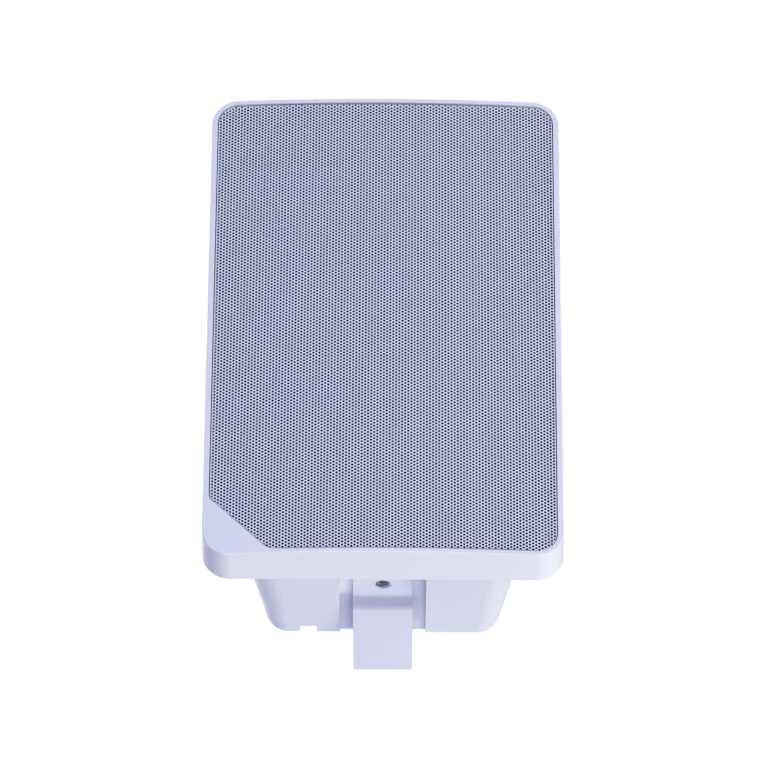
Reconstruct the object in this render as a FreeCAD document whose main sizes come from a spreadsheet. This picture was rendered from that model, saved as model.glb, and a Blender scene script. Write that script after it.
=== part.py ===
import FreeCAD, Part
import math
import os
import Sketcher
from FreeCAD import Vector

# Wall-mounted public address speaker: a moulded cabinet with a crowned grille, a woofer, a tweeter,
# a line transformer and a bent steel strap that carries the cabinet on two pivot bushes.
# Millimetres. X points right as seen from the front, Y towards the wall and Z up. The origin is the
# centre of the strap's wall face, so the front looks along minus Y.

# Driving dimensions, one cell each
SIZES = {
    # Front frame, measured at its front edge; the crown bulges forward between the side edges
    "frame_width": 200.0,
    "frame_height": 300.0,
    "frame_corner": 15.0,
    "frame_flare": 0.8,
    "frame_depth": 26.7,
    "crown_rise": 4.5,
    "frame_wall": 3.0,
    "frame_edge_round": 0.5,
    "frame_back_round": 0.6,
    "lip_side": 3.0,
    "lip_end": 2.5,
    "baffle_setback": 11.5,
    "baffle_thickness": 3.5,
    "ledge_width": 2.5,
    "corner_skin": 3.0,
    "corner_solid": 12.0,
    # Perforated grille, a folded tray with one corner cut off
    "grille_gap": 0.6,
    "grille_corner": 11.4,
    "grille_cut": 33.0,
    "grille_cut_round": 6.0,
    "grille_sheet": 0.6,
    "grille_fold": 0.5,
    "grille_setback": 0.6,
    "grille_pitch": 24.0,
    "grille_hole": 14.4,
    "grille_margin": 2.0,
    "cloth_gap": 0.1,
    "cloth_thickness": 0.5,
    # Rear shell, a tapered tub between a flange in the back of the frame and a rear rim that holds a panel
    "shell_side_inset": 19.25,
    "shell_end_inset": 10.0,
    "shell_side_draw": 14.0,
    "shell_end_draw": 11.5,
    "shell_corner": 20.0,
    "shell_rear_corner": 13.0,
    "shell_depth": 102.7,
    "shell_wall": 3.0,
    "shell_edge_round": 0.8,
    "flange_thickness": 3.0,
    "flange_gap": 0.3,
    "gasket_thickness": 1.0,
    "rear_recess": 11.0,
    "channel_width": 49.0,
    "channel_rear_depth": 1.9,
    "notch_offset": 42.7,
    "notch_width": 9.8,
    "notch_depth": 8.5,
    "notch_round": 1.5,
    # Strap and pivot
    "wall_to_pivot": 90.3,
    "pivot_to_frame": 45.3,
    "strap_width": 33.8,
    "strap_thickness": 2.0,
    "strap_gap": 0.3,
    "strap_tip": 16.5,
    "strap_tip_round": 6.0,
    "joggle_start": 14.0,
    "joggle_run": 1.2,
    "joggle_drop": 8.0,
    "bend_radius": 1.4,
    "wall_hole_spacing": 160.0,
    "wall_hole_diameter": 6.5,
    "bush_diameter": 10.0,
    "bush_running_gap": 0.05,
    "bush_core": 6.8,
    "bush_mouth": 8.4,
    "bush_flange_diameter": 16.0,
    "bush_flange_thickness": 1.5,
    "bush_end_gap": 0.2,
    "boss_diameter": 20.0,
    "boss_height": 14.0,
    # Shares of the height that the two drivers leave free, below the woofer and above the tweeter
    "share_below_woofer": 0.3,
    "share_above_tweeter": 0.5,
    # Woofer, depths measured back from the front face of its basket flange
    "woofer_flange_diameter": 166.0,
    "woofer_cutout": 144.0,
    "woofer_gasket": 1.5,
    "basket_sheet": 1.5,
    "basket_mouth": 140.0,
    "basket_bend": 3.0,
    "spider_seat_depth": 22.0,
    "spider_seat_outer": 100.0,
    "spider_seat_inner": 84.0,
    "basket_floor_depth": 34.0,
    "basket_floor": 80.0,
    "basket_floor_hole": 36.0,
    "window_inner": 108.0,
    "window_outer": 130.0,
    "window_angle": 36.0,
    "top_plate_diameter": 80.0,
    "top_plate_bore": 28.6,
    "top_plate_thickness": 5.0,
    "magnet_diameter": 90.0,
    "magnet_bore": 48.0,
    "magnet_thickness": 15.0,
    "yoke_diameter": 84.0,
    "yoke_thickness": 5.0,
    "pole_diameter": 24.6,
    "pole_vent": 8.0,
    "coil_bore": 25.8,
    "former_wall": 0.3,
    "former_length": 31.0,
    "winding_build": 0.5,
    "winding_length": 10.0,
    "cone_edge": 122.0,
    "cone_rim": 3.0,
    "cone_depth": 17.0,
    "cone_bow": 2.0,
    "cone_paper": 0.8,
    "surround_roll": 10.0,
    "surround_rise": 5.2,
    "surround_bend": 0.48,
    "surround_rubber": 0.6,
    "surround_lip": 3.0,
    "spider_wave": 1.1,
    "spider_cloth": 0.5,
    "dust_cap_diameter": 44.0,
    "dust_cap_rise": 7.0,
    "dust_cap_wall": 0.6,
    "woofer_screw_circle": 157.0,
    # Tweeter, a dome on a flared faceplate
    "tweeter_diameter": 74.0,
    "tweeter_plate": 3.0,
    "tweeter_collar": 58.0,
    "tweeter_collar_depth": 6.0,
    "tweeter_mouth": 44.0,
    "tweeter_throat": 28.0,
    "dome_diameter": 25.0,
    "dome_rise": 5.0,
    "dome_wall": 0.4,
    "dome_rim": 36.0,
    "tweeter_magnet_diameter": 44.0,
    "tweeter_magnet_bore": 30.0,
    "tweeter_magnet_thickness": 11.0,
    "tweeter_yoke_thickness": 4.0,
    "tweeter_pole": 24.0,
    "tweeter_fit": 0.5,
    "tweeter_screw_circle": 64.0,
    # Share of a dome's ball radius at which its profile turns, outside and inside
    "dome_turn_out": 0.97,
    "dome_turn_in": 0.94,
    # Screws
    "screw_shank": 3.6,
    "screw_head": 7.2,
    "screw_head_height": 2.4,
    "screw_hole_gap": 0.3,
    "screw_pilot_gap": 0.05,
    "case_screw_length": 10.0,
    "case_screw_inset": 12.0,
    "case_screw_end": 22.0,
    "case_boss_diameter": 9.0,
    "driver_screw_length": 7.0,
    # Line transformer on two posts of the rear panel
    "transformer_margin": 8.0,
    "transformer_z": 62.0,
    "core_width": 50.0,
    "core_height": 42.0,
    "core_stack": 20.0,
    "core_limb": 8.5,
    "winding_gap": 0.5,
    "winding_swell": 7.0,
    "clamp_sheet": 1.2,
    "clamp_foot": 11.0,
    "post_height": 8.0,
    "post_diameter": 8.0,
    "inner_screw_length": 7.0,
    # Crossover board on four posts of the rear panel
    "board_margin": 4.7,
    "board_z": 62.0,
    "board_width": 46.0,
    "board_height": 80.0,
    "board_thickness": 1.6,
    "board_hole_inset": 5.0,
    "coil_diameter": 30.0,
    "coil_hole": 12.0,
    "coil_height": 14.0,
    "coil_offset": 18.0,
    "capacitor_diameter": 13.0,
    "capacitor_length": 28.0,
    "capacitor_offset": 16.0,
    # Terminal block in the rear recess
    "terminal_margin": 9.0,
    "terminal_z": -92.0,
    "terminal_pitch": 9.0,
    "terminal_height": 18.0,
    "terminal_depth": 8.0,
    "terminal_well": 4.0,
    "terminal_rib": 1.6,
    "terminal_tail": 6.0,
    "terminal_tail_gap": 0.3,
    "terminal_screw": 5.6,
    "terminal_screw_height": 2.0,
}

# How many of a repeated feature there are
BASKET_WINDOWS = 6
WOOFER_SCREWS = 4
TWEETER_SCREWS = 4
SPIDER_WAVES = 4
TERMINALS = 4

# Places that follow from the sizes
PLACES = {
    "pivot_y": "-Size.wall_to_pivot",
    "frame_back_y": "pivot_y - Size.pivot_to_frame",
    "frame_front_y": "frame_back_y - Size.frame_depth",
    "crest_y": "frame_front_y - Size.crown_rise",
    "frame_half_w": "Size.frame_width / 2",
    "frame_half_h": "Size.frame_height / 2",
    "crown_radius": "(frame_half_w ^ 2 + Size.crown_rise ^ 2) / (2 * Size.crown_rise)",
    "crown_centre_y": "crest_y + crown_radius",
    "baffle_y": "frame_front_y + Size.baffle_setback",
    "baffle_back_y": "baffle_y + Size.baffle_thickness",
    "inner_half_w": "frame_half_w - Size.frame_wall",
    "inner_half_h": "frame_half_h - Size.frame_wall",
    "inner_corner": "Size.frame_corner - Size.frame_wall",
    "flange_y": "frame_back_y - Size.flange_thickness",
    "ledge_y": "flange_y - Size.gasket_thickness",
    "opening_half_w": "frame_half_w - Size.lip_side",
    "opening_half_h": "frame_half_h - Size.lip_end",
    "grille_half_w": "opening_half_w - Size.grille_gap",
    "grille_half_h": "opening_half_h - Size.grille_gap",
    "grille_radius": "crown_radius - Size.grille_setback",
    "cloth_radius": "grille_radius - Size.grille_sheet - Size.cloth_gap",
    "shell_half_w": "frame_half_w - Size.shell_side_inset",
    "shell_half_h": "frame_half_h - Size.shell_end_inset",
    "shell_rear_half_w": "shell_half_w - Size.shell_side_draw",
    "shell_rear_half_h": "shell_half_h - Size.shell_end_draw",
    "shell_rear_y": "frame_back_y + Size.shell_depth",
    "panel_y": "shell_rear_y - Size.rear_recess",
    "panel_in_y": "panel_y - Size.shell_wall",
    "panel_share": "(panel_y - frame_back_y) / Size.shell_depth",
    "panel_out_w": "shell_half_w - Size.shell_side_draw * panel_share",
    "panel_out_h": "shell_half_h - Size.shell_end_draw * panel_share",
    "panel_out_corner": "Size.shell_corner - (Size.shell_corner - Size.shell_rear_corner) * panel_share",
    "panel_half_w": "panel_out_w - Size.shell_wall",
    "panel_half_h": "panel_out_h - Size.shell_wall",
    "panel_corner": "panel_out_corner - Size.shell_wall",
    "channel_floor": "shell_rear_half_h - Size.channel_rear_depth",
    "strap_in": "channel_floor + Size.strap_gap",
    "strap_out": "strap_in + Size.strap_thickness",
    "arm_out": "strap_out + Size.joggle_drop",
    "arm_in": "arm_out - Size.strap_thickness",
    "joggle_y": "pivot_y + Size.joggle_start",
    "joggle_end_y": "joggle_y + Size.joggle_run",
    "joggle_slant": "sqrt(Size.joggle_run ^ 2 + Size.joggle_drop ^ 2)",
    "joggle_shift": "Size.strap_thickness * (joggle_slant - Size.joggle_run) / Size.joggle_drop",
    "bend_outer": "Size.bend_radius + Size.strap_thickness",
    "boss_end": "channel_floor - Size.boss_height",
    "spare_height": "Size.frame_height - Size.woofer_flange_diameter - Size.tweeter_diameter",
    "woofer_foot": "spare_height * Size.share_below_woofer - frame_half_h",
    "woofer_z": "woofer_foot + Size.woofer_flange_diameter / 2",
    "woofer_y": "baffle_y - Size.woofer_gasket - Size.basket_sheet",
    "top_plate_y": "woofer_y + Size.basket_floor_depth + Size.basket_sheet",
    "magnet_y": "top_plate_y + Size.top_plate_thickness",
    "yoke_y": "magnet_y + Size.magnet_thickness",
    "former_out": "Size.coil_bore / 2 + Size.former_wall",
    "winding_mid_y": "top_plate_y + Size.top_plate_thickness / 2",
    "former_end_y": "winding_mid_y + Size.winding_length / 2",
    "former_start_y": "former_end_y - Size.former_length",
    "cone_neck_y": "woofer_y + Size.cone_depth",
    "tweeter_top": "frame_half_h - spare_height * Size.share_above_tweeter",
    "tweeter_z": "tweeter_top - Size.tweeter_diameter / 2",
    "tweeter_y": "baffle_y - Size.tweeter_plate",
    "tweeter_seat_y": "baffle_y + Size.tweeter_collar_depth",
    "case_screw_x": "frame_half_w - Size.case_screw_inset",
    "case_screw_z": "frame_half_h - Size.case_screw_end",
    "case_screw_mid": "case_screw_z / 3",
    "post_y": "panel_in_y - Size.post_height",
    "core_front_y": "post_y - Size.core_height",
    "winding_half_w": "Size.core_stack / 2 + Size.winding_swell",
    "transformer_x": "winding_half_w + Size.transformer_margin - panel_half_w",
    "clamp_post": "Size.core_width / 2 + Size.clamp_sheet + Size.clamp_foot / 2",
    "board_x": "panel_half_w - Size.board_margin - Size.board_width / 2",
    "board_y": "post_y - Size.board_thickness",
    "board_hole_x": "Size.board_width / 2 - Size.board_hole_inset",
    "board_hole_z": "Size.board_height / 2 - Size.board_hole_inset",
    "terminal_half": "(%d * Size.terminal_pitch + Size.terminal_rib) / 2" % TERMINALS,
    "terminal_left": "Size.shell_wall + Size.terminal_margin - shell_rear_half_w",
    "terminal_x": "terminal_left + terminal_half",
}

doc = FreeCAD.newDocument("wall_speaker")
size_sheet = doc.addObject("Spreadsheet::Sheet", "Size")
place_sheet = doc.addObject("Spreadsheet::Sheet", "Place")
reader = doc.addObject("Spreadsheet::Sheet", "Reader")
sub_parts = []

# Faces and edges this close to a place count as lying on it
NEAR = 0.1


def fill_sheet(sheet, rows, prefix):
    """Write each value in column B under its alias, with the alias as a heading in column A."""
    for row, (alias, value) in enumerate(rows.items(), start=1):
        sheet.set("A%d" % row, alias)
        sheet.set("B%d" % row, prefix + str(value))
        sheet.setAlias("B%d" % row, alias)
    doc.recompute()


def number(expression):
    """The number that an expression over the sheets gives now."""
    reader.set("A1", "=" + expression)
    reader.recompute()
    return float(reader.get("A1"))


def new_body(label):
    """A body for one sub-part; its label names the file."""
    body = doc.addObject("PartDesign::Body", label)
    body.Label = label
    sub_parts.append(body)
    return body


def sketch_on(body, role, name, offset, up="0"):
    """A sketch on one of the body's origin planes, moved along the normal and up within the plane."""
    sketch = body.newObject("Sketcher::SketchObject", name)
    plane = [feature for feature in body.Origin.OriginFeatures if feature.Role == role][0]
    sketch.AttachmentSupport = [(plane, "")]
    sketch.MapMode = "FlatFace"
    sketch.setExpression("AttachmentOffset.Base.y", up)
    sketch.setExpression("AttachmentOffset.Base.z", offset)
    return sketch


def front_sketch(body, name, y, up="0"):
    """A sketch seen from the front: across is X, up is Z, at depth y. Its normal points forward."""
    return sketch_on(body, "XZ_Plane", name, "-1 * (%s)" % y, up)


def side_sketch(body, name, up="0", x="0"):
    """A sketch seen from the right: across is Y and up is Z, at x."""
    return sketch_on(body, "YZ_Plane", name, x, up)


def plan_sketch(body, name, z="0"):
    """A sketch seen from above: across is X and up is Y, at height z."""
    return sketch_on(body, "XY_Plane", name, z)


def pin(geometry, position, across, up):
    """Constraints, with their expressions, that hold one point at a place in the sketch."""
    rows = []
    for kind, axis, expression in (("DistanceX", -2, across), ("DistanceY", -1, up)):
        distance = number(expression)
        if abs(distance) < 1e-9:
            rows.append((Sketcher.Constraint("PointOnObject", geometry, position, axis), None))
        elif distance > 0:
            rows.append((Sketcher.Constraint(kind, -1, 1, geometry, position, distance), expression))
        else:
            turned = "-1 * (%s)" % expression
            rows.append((Sketcher.Constraint(kind, geometry, position, -1, 1, -distance), turned))
    return rows


def constrain(sketch, rows):
    """Add the constraints in one go and bind those that have an expression."""
    first = sketch.ConstraintCount
    sketch.addConstraint([constraint for constraint, expression in rows])
    for index, (constraint, expression) in enumerate(rows, start=first):
        if expression:
            sketch.setExpression("Constraints[%d]" % index, expression)


def outline(sketch, corners):
    """A closed outline. Each corner is across, up and, where it is rounded, a radius."""
    spots = [Vector(number(corner[0]), number(corner[1]), 0) for corner in corners]
    count = len(spots)
    arrive, leave, bends = list(spots), list(spots), {}
    for index, corner in enumerate(corners):
        if len(corner) < 3:
            continue
        back = (spots[index - 1] - spots[index]).normalize()
        ahead = (spots[(index + 1) % count] - spots[index]).normalize()
        half_angle = back.getAngle(ahead) / 2
        radius = number(corner[2])
        arrive[index] = spots[index] + back * (radius / math.tan(half_angle))
        leave[index] = spots[index] + ahead * (radius / math.tan(half_angle))
        centre = spots[index] + (back + ahead).normalize() * (radius / math.sin(half_angle))
        bends[index] = (centre, radius)

    first = sketch.GeometryCount
    for index in range(count):
        sketch.addGeometry(Part.LineSegment(leave[index], arrive[(index + 1) % count]))
    rows = []
    for index, corner in enumerate(corners):
        line_in = first + (index - 1) % count
        line_out = first + index
        if index not in bends:
            rows.append((Sketcher.Constraint("Coincident", line_in, 2, line_out, 1), None))
            rows.extend(pin(line_out, 1, corner[0], corner[1]))
            continue
        centre, radius = bends[index]
        angles = [math.atan2(spot.y - centre.y, spot.x - centre.x) for spot in (arrive[index], leave[index])]
        forward = (angles[1] - angles[0]) % (2 * math.pi) < math.pi
        start, end = angles if forward else reversed(angles)
        circle = Part.Circle(centre, Vector(0, 0, 1), radius)
        arc = sketch.addGeometry(Part.ArcOfCircle(circle, start, end))
        point = sketch.addGeometry(Part.Point(spots[index]), True)
        rows.append((Sketcher.Constraint("Tangent", line_in, 2, arc, 1 if forward else 2), None))
        rows.append((Sketcher.Constraint("Tangent", line_out, 1, arc, 2 if forward else 1), None))
        rows.append((Sketcher.Constraint("PointOnObject", point, 1, line_in), None))
        rows.append((Sketcher.Constraint("PointOnObject", point, 1, line_out), None))
        rows.append((Sketcher.Constraint("Radius", arc, radius), corner[2]))
        rows.extend(pin(point, 1, corner[0], corner[1]))
    constrain(sketch, rows)


def rounded_box(sketch, half_w, half_h, corner):
    """A rectangle about the sketch's origin with four equal round corners."""
    left, low = "-1 * (%s)" % half_w, "-1 * (%s)" % half_h
    outline(sketch, [
        (left, low, corner), (half_w, low, corner), (half_w, half_h, corner), (left, half_h, corner)])


def rectangle(sketch, left, low, right, high):
    """A plain rectangle from its four sides."""
    outline(sketch, [(left, low), (right, low), (right, high), (left, high)])


def circles(sketch, centres, diameter):
    """One circle at each centre, all of one diameter."""
    rows = []
    for across, up in centres:
        spot = Vector(number(across), number(up), 0)
        radius = number(diameter) / 2
        circle = sketch.addGeometry(Part.Circle(spot, Vector(0, 0, 1), radius))
        rows.append((Sketcher.Constraint("Radius", circle, radius), "(%s) / 2" % diameter))
        rows.extend(pin(circle, 3, across, up))
    constrain(sketch, rows)


def extrude(body, kind, sketch, length, reverse, both):
    """A pad or pocket of a sketch, to a length or, with none, through everything."""
    feature = body.newObject("PartDesign::" + kind, kind + "_" + sketch.Name)
    feature.Profile = sketch
    feature.SideType = "Symmetric" if both else "One side"
    feature.Reversed = reverse
    if length:
        feature.setExpression("Length", length)
    else:
        feature.Type = "ThroughAll"
    doc.recompute()
    return feature


def pad(body, sketch, length, reverse=False, both=False):
    """Add material along the sketch's normal, or against it."""
    return extrude(body, "Pad", sketch, length, reverse, both)


def pocket(body, sketch, length=None, reverse=False, both=False):
    """Cut against the sketch's normal, or along it, and make sure that something was cut."""
    before = body.Shape.Volume
    feature = extrude(body, "Pocket", sketch, length, reverse, both)
    if not body.Shape.Volume < before:
        raise RuntimeError("%s cuts nothing" % feature.Label)
    return feature


def loft(body, kind, profile, section):
    """A straight loft between two outlines, added or cut."""
    feature = body.newObject("PartDesign::" + kind, kind + "_" + profile.Name)
    feature.Profile = profile
    feature.Sections = [section]
    feature.Ruled = True
    doc.recompute()
    return feature


def revolve(body, sketch, axis):
    """A full turn of a profile about one axis of its own sketch."""
    feature = body.newObject("PartDesign::Revolution", "Revolution_" + sketch.Name)
    feature.Profile = sketch
    feature.ReferenceAxis = (sketch, [axis])
    feature.Angle = 360
    doc.recompute()
    return feature


def turned_part(label, corners, up):
    """A body of revolution about a line along Y at height up; corners are depth and radius."""
    body = new_body(label)
    profile = side_sketch(body, label + "_profile", up)
    outline(profile, corners)
    revolve(body, profile, "H_Axis")
    return body


def ring_part(label, start, thickness, outer, bore, up):
    """A plain ring about a line along Y, from its front face and its two diameters."""
    end = start + " + " + thickness
    return turned_part(label, [(start, bore + " / 2"), (start, outer + " / 2"),
                               (end, outer + " / 2"), (end, bore + " / 2")], up)


def dome_part(label, foot, half, rise, wall, up, rim=None):
    """A thin cap that bulges forward from its foot, with a flat rim round it if one is given."""
    ball = "((%s) ^ 2 + (%s) ^ 2) / (2 * (%s))" % (half, rise, rise)
    meet = "(%s) * (%s) / (%s)" % (ball, rise, half)
    apex = "%s - %s" % (foot, rise)
    edge = [(foot, half + " - " + wall)]
    if rim:
        behind = foot + " + " + wall
        edge = [(foot, rim), (behind, rim), (behind, half + " - " + wall)]
    outside = [(apex, "0"), (apex, meet, "%s * Size.dome_turn_out" % ball), (foot, half)]
    inside = [(apex + " + " + wall, meet + " - " + wall, "%s * Size.dome_turn_in" % ball),
              (apex + " + " + wall, "0")]
    return turned_part(label, outside + edge + inside, up)


def round_edges(body, radius, chosen):
    """Fillet the edges of the body for which the test is true."""
    names = ["Edge%d" % i for i, edge in enumerate(body.Shape.Edges, start=1) if chosen(edge)]
    fillet = body.newObject("PartDesign::Fillet", "Fillet_" + body.Name)
    fillet.Base = (fillet.BaseFeature, names)
    fillet.setExpression("Radius", radius)
    doc.recompute()
    return fillet


def rim_of(body, depth):
    """A test for the edges round the outside of the body's largest face that reaches a depth."""
    y = number(depth)
    faces = [face for face in body.Shape.Faces
             if abs(face.BoundBox.YMin - y) < NEAR or abs(face.BoundBox.YMax - y) < NEAR]
    largest = max(faces, key=lambda face: face.Area)
    return lambda edge: any(edge.isSame(rim) for rim in largest.OuterWire.Edges)


def pierce(body, name, y, places, diameter):
    """Drill straight through the body along Y at each place."""
    sketch = front_sketch(body, name, y)
    circles(sketch, places, diameter)
    return pocket(body, sketch, both=True)


def crown_ring(body, name, inner, outer=None):
    """A plan sketch of the crown's circle, or of the ring between two circles about its axis."""
    sketch = plan_sketch(body, name)
    for radius in (inner, outer):
        if radius:
            circles(sketch, [("0", "Place.crown_centre_y")], "2 * (%s)" % radius)
    return sketch


def grille_outline(sketch, inset):
    """The grille's outline, moved in by the inset, with its lower left corner cut off at 45 degrees."""
    half_w, half_h = "(Place.grille_half_w - (%s))" % inset, "(Place.grille_half_h - (%s))" % inset
    corner, cut_round = "Size.grille_corner - (%s)" % inset, "Size.grille_cut_round - (%s)" % inset
    cut = "Size.grille_cut - (2 - sqrt(2)) * (%s)" % inset
    left, low = "-1 * " + half_w, "-1 * " + half_h
    outline(sketch, [
        (left + " + " + cut, low, cut_round),
        (half_w, low, corner),
        (half_w, half_h, corner),
        (left, half_h, corner),
        (left, low + " + " + cut, cut_round),
    ])


def ring_places(circle, count, up, start):
    """Places spaced evenly round a circle at height up, in a front sketch."""
    angles = [start + 360.0 * index / count for index in range(count)]
    return [("(%s) / 2 * cos(%f)" % (circle, angle), "(%s) + (%s) / 2 * sin(%f)" % (up, circle, angle))
            for angle in angles]


def screws(label, places, head_y, length, forward):
    """A group of pan head screws with their heads seated at one depth, each a solid of its own."""
    body = new_body(label)
    heads = front_sketch(body, label + "_heads", head_y)
    circles(heads, places, "Size.screw_head")
    pad(body, heads, "Size.screw_head_height", reverse=forward)
    shanks = front_sketch(body, label + "_shanks", head_y)
    circles(shanks, places, "Size.screw_shank")
    pad(body, shanks, length, reverse=not forward)
    return body


fill_sheet(size_sheet, SIZES, "")
fill_sheet(place_sheet, PLACES, "=")

CASE_SCREW_PLACES = [("%d * Place.case_screw_x" % side, "%d * Place.%s" % (end, row))
                     for side in (-1, 1) for end in (-1, 1) for row in ("case_screw_z", "case_screw_mid")]
WOOFER_SCREW_PLACES = ring_places("Size.woofer_screw_circle", WOOFER_SCREWS, "Place.woofer_z", 45)
TWEETER_SCREW_PLACES = ring_places("Size.tweeter_screw_circle", TWEETER_SCREWS, "Place.tweeter_z", 45)
CLAMP_SCREW_PLACES = [("Place.transformer_x", "Size.transformer_z + %d * Place.clamp_post" % end)
                      for end in (-1, 1)]
BOARD_SCREW_PLACES = [("Place.board_x + %d * Place.board_hole_x" % side,
                       "Size.board_z + %d * Place.board_hole_z" % end)
                      for side in (-1, 1) for end in (-1, 1)]
TERMINAL_STEPS = [index - (TERMINALS - 1) / 2 for index in range(TERMINALS)]
TERMINAL_PLACES = [("Place.terminal_x + %.1f * Size.terminal_pitch" % step, "Size.terminal_z")
                   for step in TERMINAL_STEPS]
SHANK_HOLE = "Size.screw_shank + 2 * Size.screw_hole_gap"
PILOT_HOLE = "Size.screw_shank + 2 * Size.screw_pilot_gap"


def make_front_frame():
    """Moulded frame with a crowned lip, a baffle for the drivers and bosses for the case screws."""
    body = new_body("front_frame")
    back = front_sketch(body, "frame_back", "Place.frame_back_y")
    rounded_box(back, "Place.frame_half_w + Size.frame_flare", "Place.frame_half_h + Size.frame_flare",
                "Size.frame_corner + Size.frame_flare")
    front = front_sketch(body, "frame_front", "Place.crest_y")
    rounded_box(front, "Place.frame_half_w", "Place.frame_half_h", "Size.frame_corner")
    loft(body, "AdditiveLoft", back, front)
    crown = crown_ring(body, "frame_crown", "Place.crown_radius", "Place.crown_radius + Size.frame_depth")
    pocket(body, crown, both=True)
    round_edges(body, "Size.frame_edge_round", rim_of(body, "Place.crest_y"))
    round_edges(body, "Size.frame_back_round", rim_of(body, "Place.frame_back_y"))

    opening = front_sketch(body, "frame_opening", "Place.baffle_y")
    grille_outline(opening, "-1 * Size.grille_gap")
    pocket(body, opening, reverse=True)
    seat = front_sketch(body, "flange_seat", "Place.frame_back_y")
    rounded_box(seat, "Place.inner_half_w", "Place.inner_half_h", "Place.inner_corner")
    pocket(body, seat, "Place.frame_back_y - Place.ledge_y", reverse=True)
    hollow = front_sketch(body, "frame_hollow", "Place.ledge_y")
    rounded_box(hollow, "Place.inner_half_w - Size.ledge_width", "Place.inner_half_h - Size.ledge_width",
                "Place.inner_corner - Size.ledge_width")
    pocket(body, hollow, "Place.ledge_y - Place.baffle_back_y", reverse=True)

    core = front_sketch(body, "corner_core", "Place.baffle_back_y")
    near = "-1 * (Place.opening_half_%s - Size.ledge_width)"
    far = near + " + Size.grille_cut - Size.corner_solid"
    outline(core, [(near % "w", near % "h"), (far % "w", near % "h"), (near % "w", far % "h")])
    pocket(body, core, "Size.baffle_setback + Size.baffle_thickness - Size.corner_skin", reverse=True)

    drivers = front_sketch(body, "driver_holes", "Place.baffle_y")
    circles(drivers, [("0", "Place.woofer_z")], "Size.woofer_cutout")
    circles(drivers, [("0", "Place.tweeter_z")], "Size.tweeter_collar + 2 * Size.tweeter_fit")
    circles(drivers, WOOFER_SCREW_PLACES + TWEETER_SCREW_PLACES, PILOT_HOLE)
    pocket(body, drivers, "Size.baffle_thickness")
    bosses = front_sketch(body, "case_bosses", "Place.baffle_back_y")
    circles(bosses, CASE_SCREW_PLACES, "Size.case_boss_diameter")
    pad(body, bosses, "Place.flange_y - Place.baffle_back_y", reverse=True)
    pilots = front_sketch(body, "case_pilots", "Place.flange_y")
    circles(pilots, CASE_SCREW_PLACES, PILOT_HOLE)
    pocket(body, pilots, "Place.flange_y - Place.baffle_back_y", reverse=True)


def grille_holes():
    """Centres of a staggered pattern that keeps clear of the grille's edges and its cut corner."""
    pitch = number("Size.grille_pitch")
    clear = number("Size.grille_hole / 2 + Size.grille_margin + Size.grille_sheet")
    half_w, half_h = number("Place.grille_half_w"), number("Place.grille_half_h")
    corner, cut = number("Size.grille_corner"), number("Size.grille_cut")
    row_step = pitch * math.sqrt(3) / 2
    columns, rows = int(half_w / row_step) + 1, int(half_h / pitch) + 1
    places = []
    for column in range(-columns, columns + 1):
        for row in range(-rows, rows + 1):
            shift = 0.5 * (column % 2)
            x, z = column * row_step, (row + shift) * pitch
            beyond_x = max(abs(x) - (half_w - corner), 0)
            beyond_z = max(abs(z) - (half_h - corner), 0)
            in_box = math.hypot(beyond_x, beyond_z) <= corner - clear
            past_cut = (half_w + half_h - cut + x + z) / math.sqrt(2) >= clear
            if in_box and past_cut:
                places.append(("%d * Size.grille_pitch * sqrt(3) / 2" % column,
                               "%.1f * Size.grille_pitch" % (row + shift)))
    return places


def make_front_grille():
    """Folded steel tray: a crowned perforated face with walls that stand on the baffle."""
    body = new_body("front_grille")
    depth = "Place.baffle_y - Place.crest_y"
    face = front_sketch(body, "grille_face", "Place.baffle_y")
    grille_outline(face, "0")
    pad(body, face, depth)
    pocket(body, crown_ring(body, "grille_hollow", "Place.grille_radius - Size.grille_sheet"), both=True)
    walls = front_sketch(body, "grille_walls", "Place.baffle_y")
    grille_outline(walls, "0")
    grille_outline(walls, "Size.grille_sheet")
    pad(body, walls, depth)
    front = crown_ring(body, "grille_front", "Place.grille_radius", "Place.grille_radius + Size.frame_depth")
    pocket(body, front, both=True)
    round_edges(body, "Size.grille_fold", rim_of(body, "Place.crest_y + Size.grille_setback"))
    holes = front_sketch(body, "grille_holes", "Place.baffle_y")
    circles(holes, grille_holes(), "Size.grille_hole")
    pocket(body, holes, reverse=True)


def make_grille_cloth():
    """Thin acoustic cloth that follows the inside of the crowned face."""
    body = new_body("grille_cloth")
    face = front_sketch(body, "cloth_face", "Place.baffle_y")
    grille_outline(face, "Size.grille_sheet + Size.flange_gap")
    pad(body, face, "Place.baffle_y - Place.crest_y")
    pocket(body, crown_ring(body, "cloth_back", "Place.cloth_radius - Size.cloth_thickness"), both=True)
    front = crown_ring(body, "cloth_front", "Place.cloth_radius", "Place.cloth_radius + Size.frame_depth")
    pocket(body, front, both=True)


def make_seal_gasket():
    """Foam strip on the frame's ledge, squeezed by the shell's flange."""
    body = new_body("seal_gasket")
    ring = front_sketch(body, "gasket_ring", "Place.ledge_y")
    rounded_box(ring, "Place.inner_half_w - Size.flange_gap", "Place.inner_half_h - Size.flange_gap",
                "Place.inner_corner - Size.flange_gap")
    rounded_box(ring, "Place.inner_half_w - Size.ledge_width", "Place.inner_half_h - Size.ledge_width",
                "Place.inner_corner - Size.ledge_width")
    pad(body, ring, "Size.gasket_thickness", reverse=True)


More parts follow.
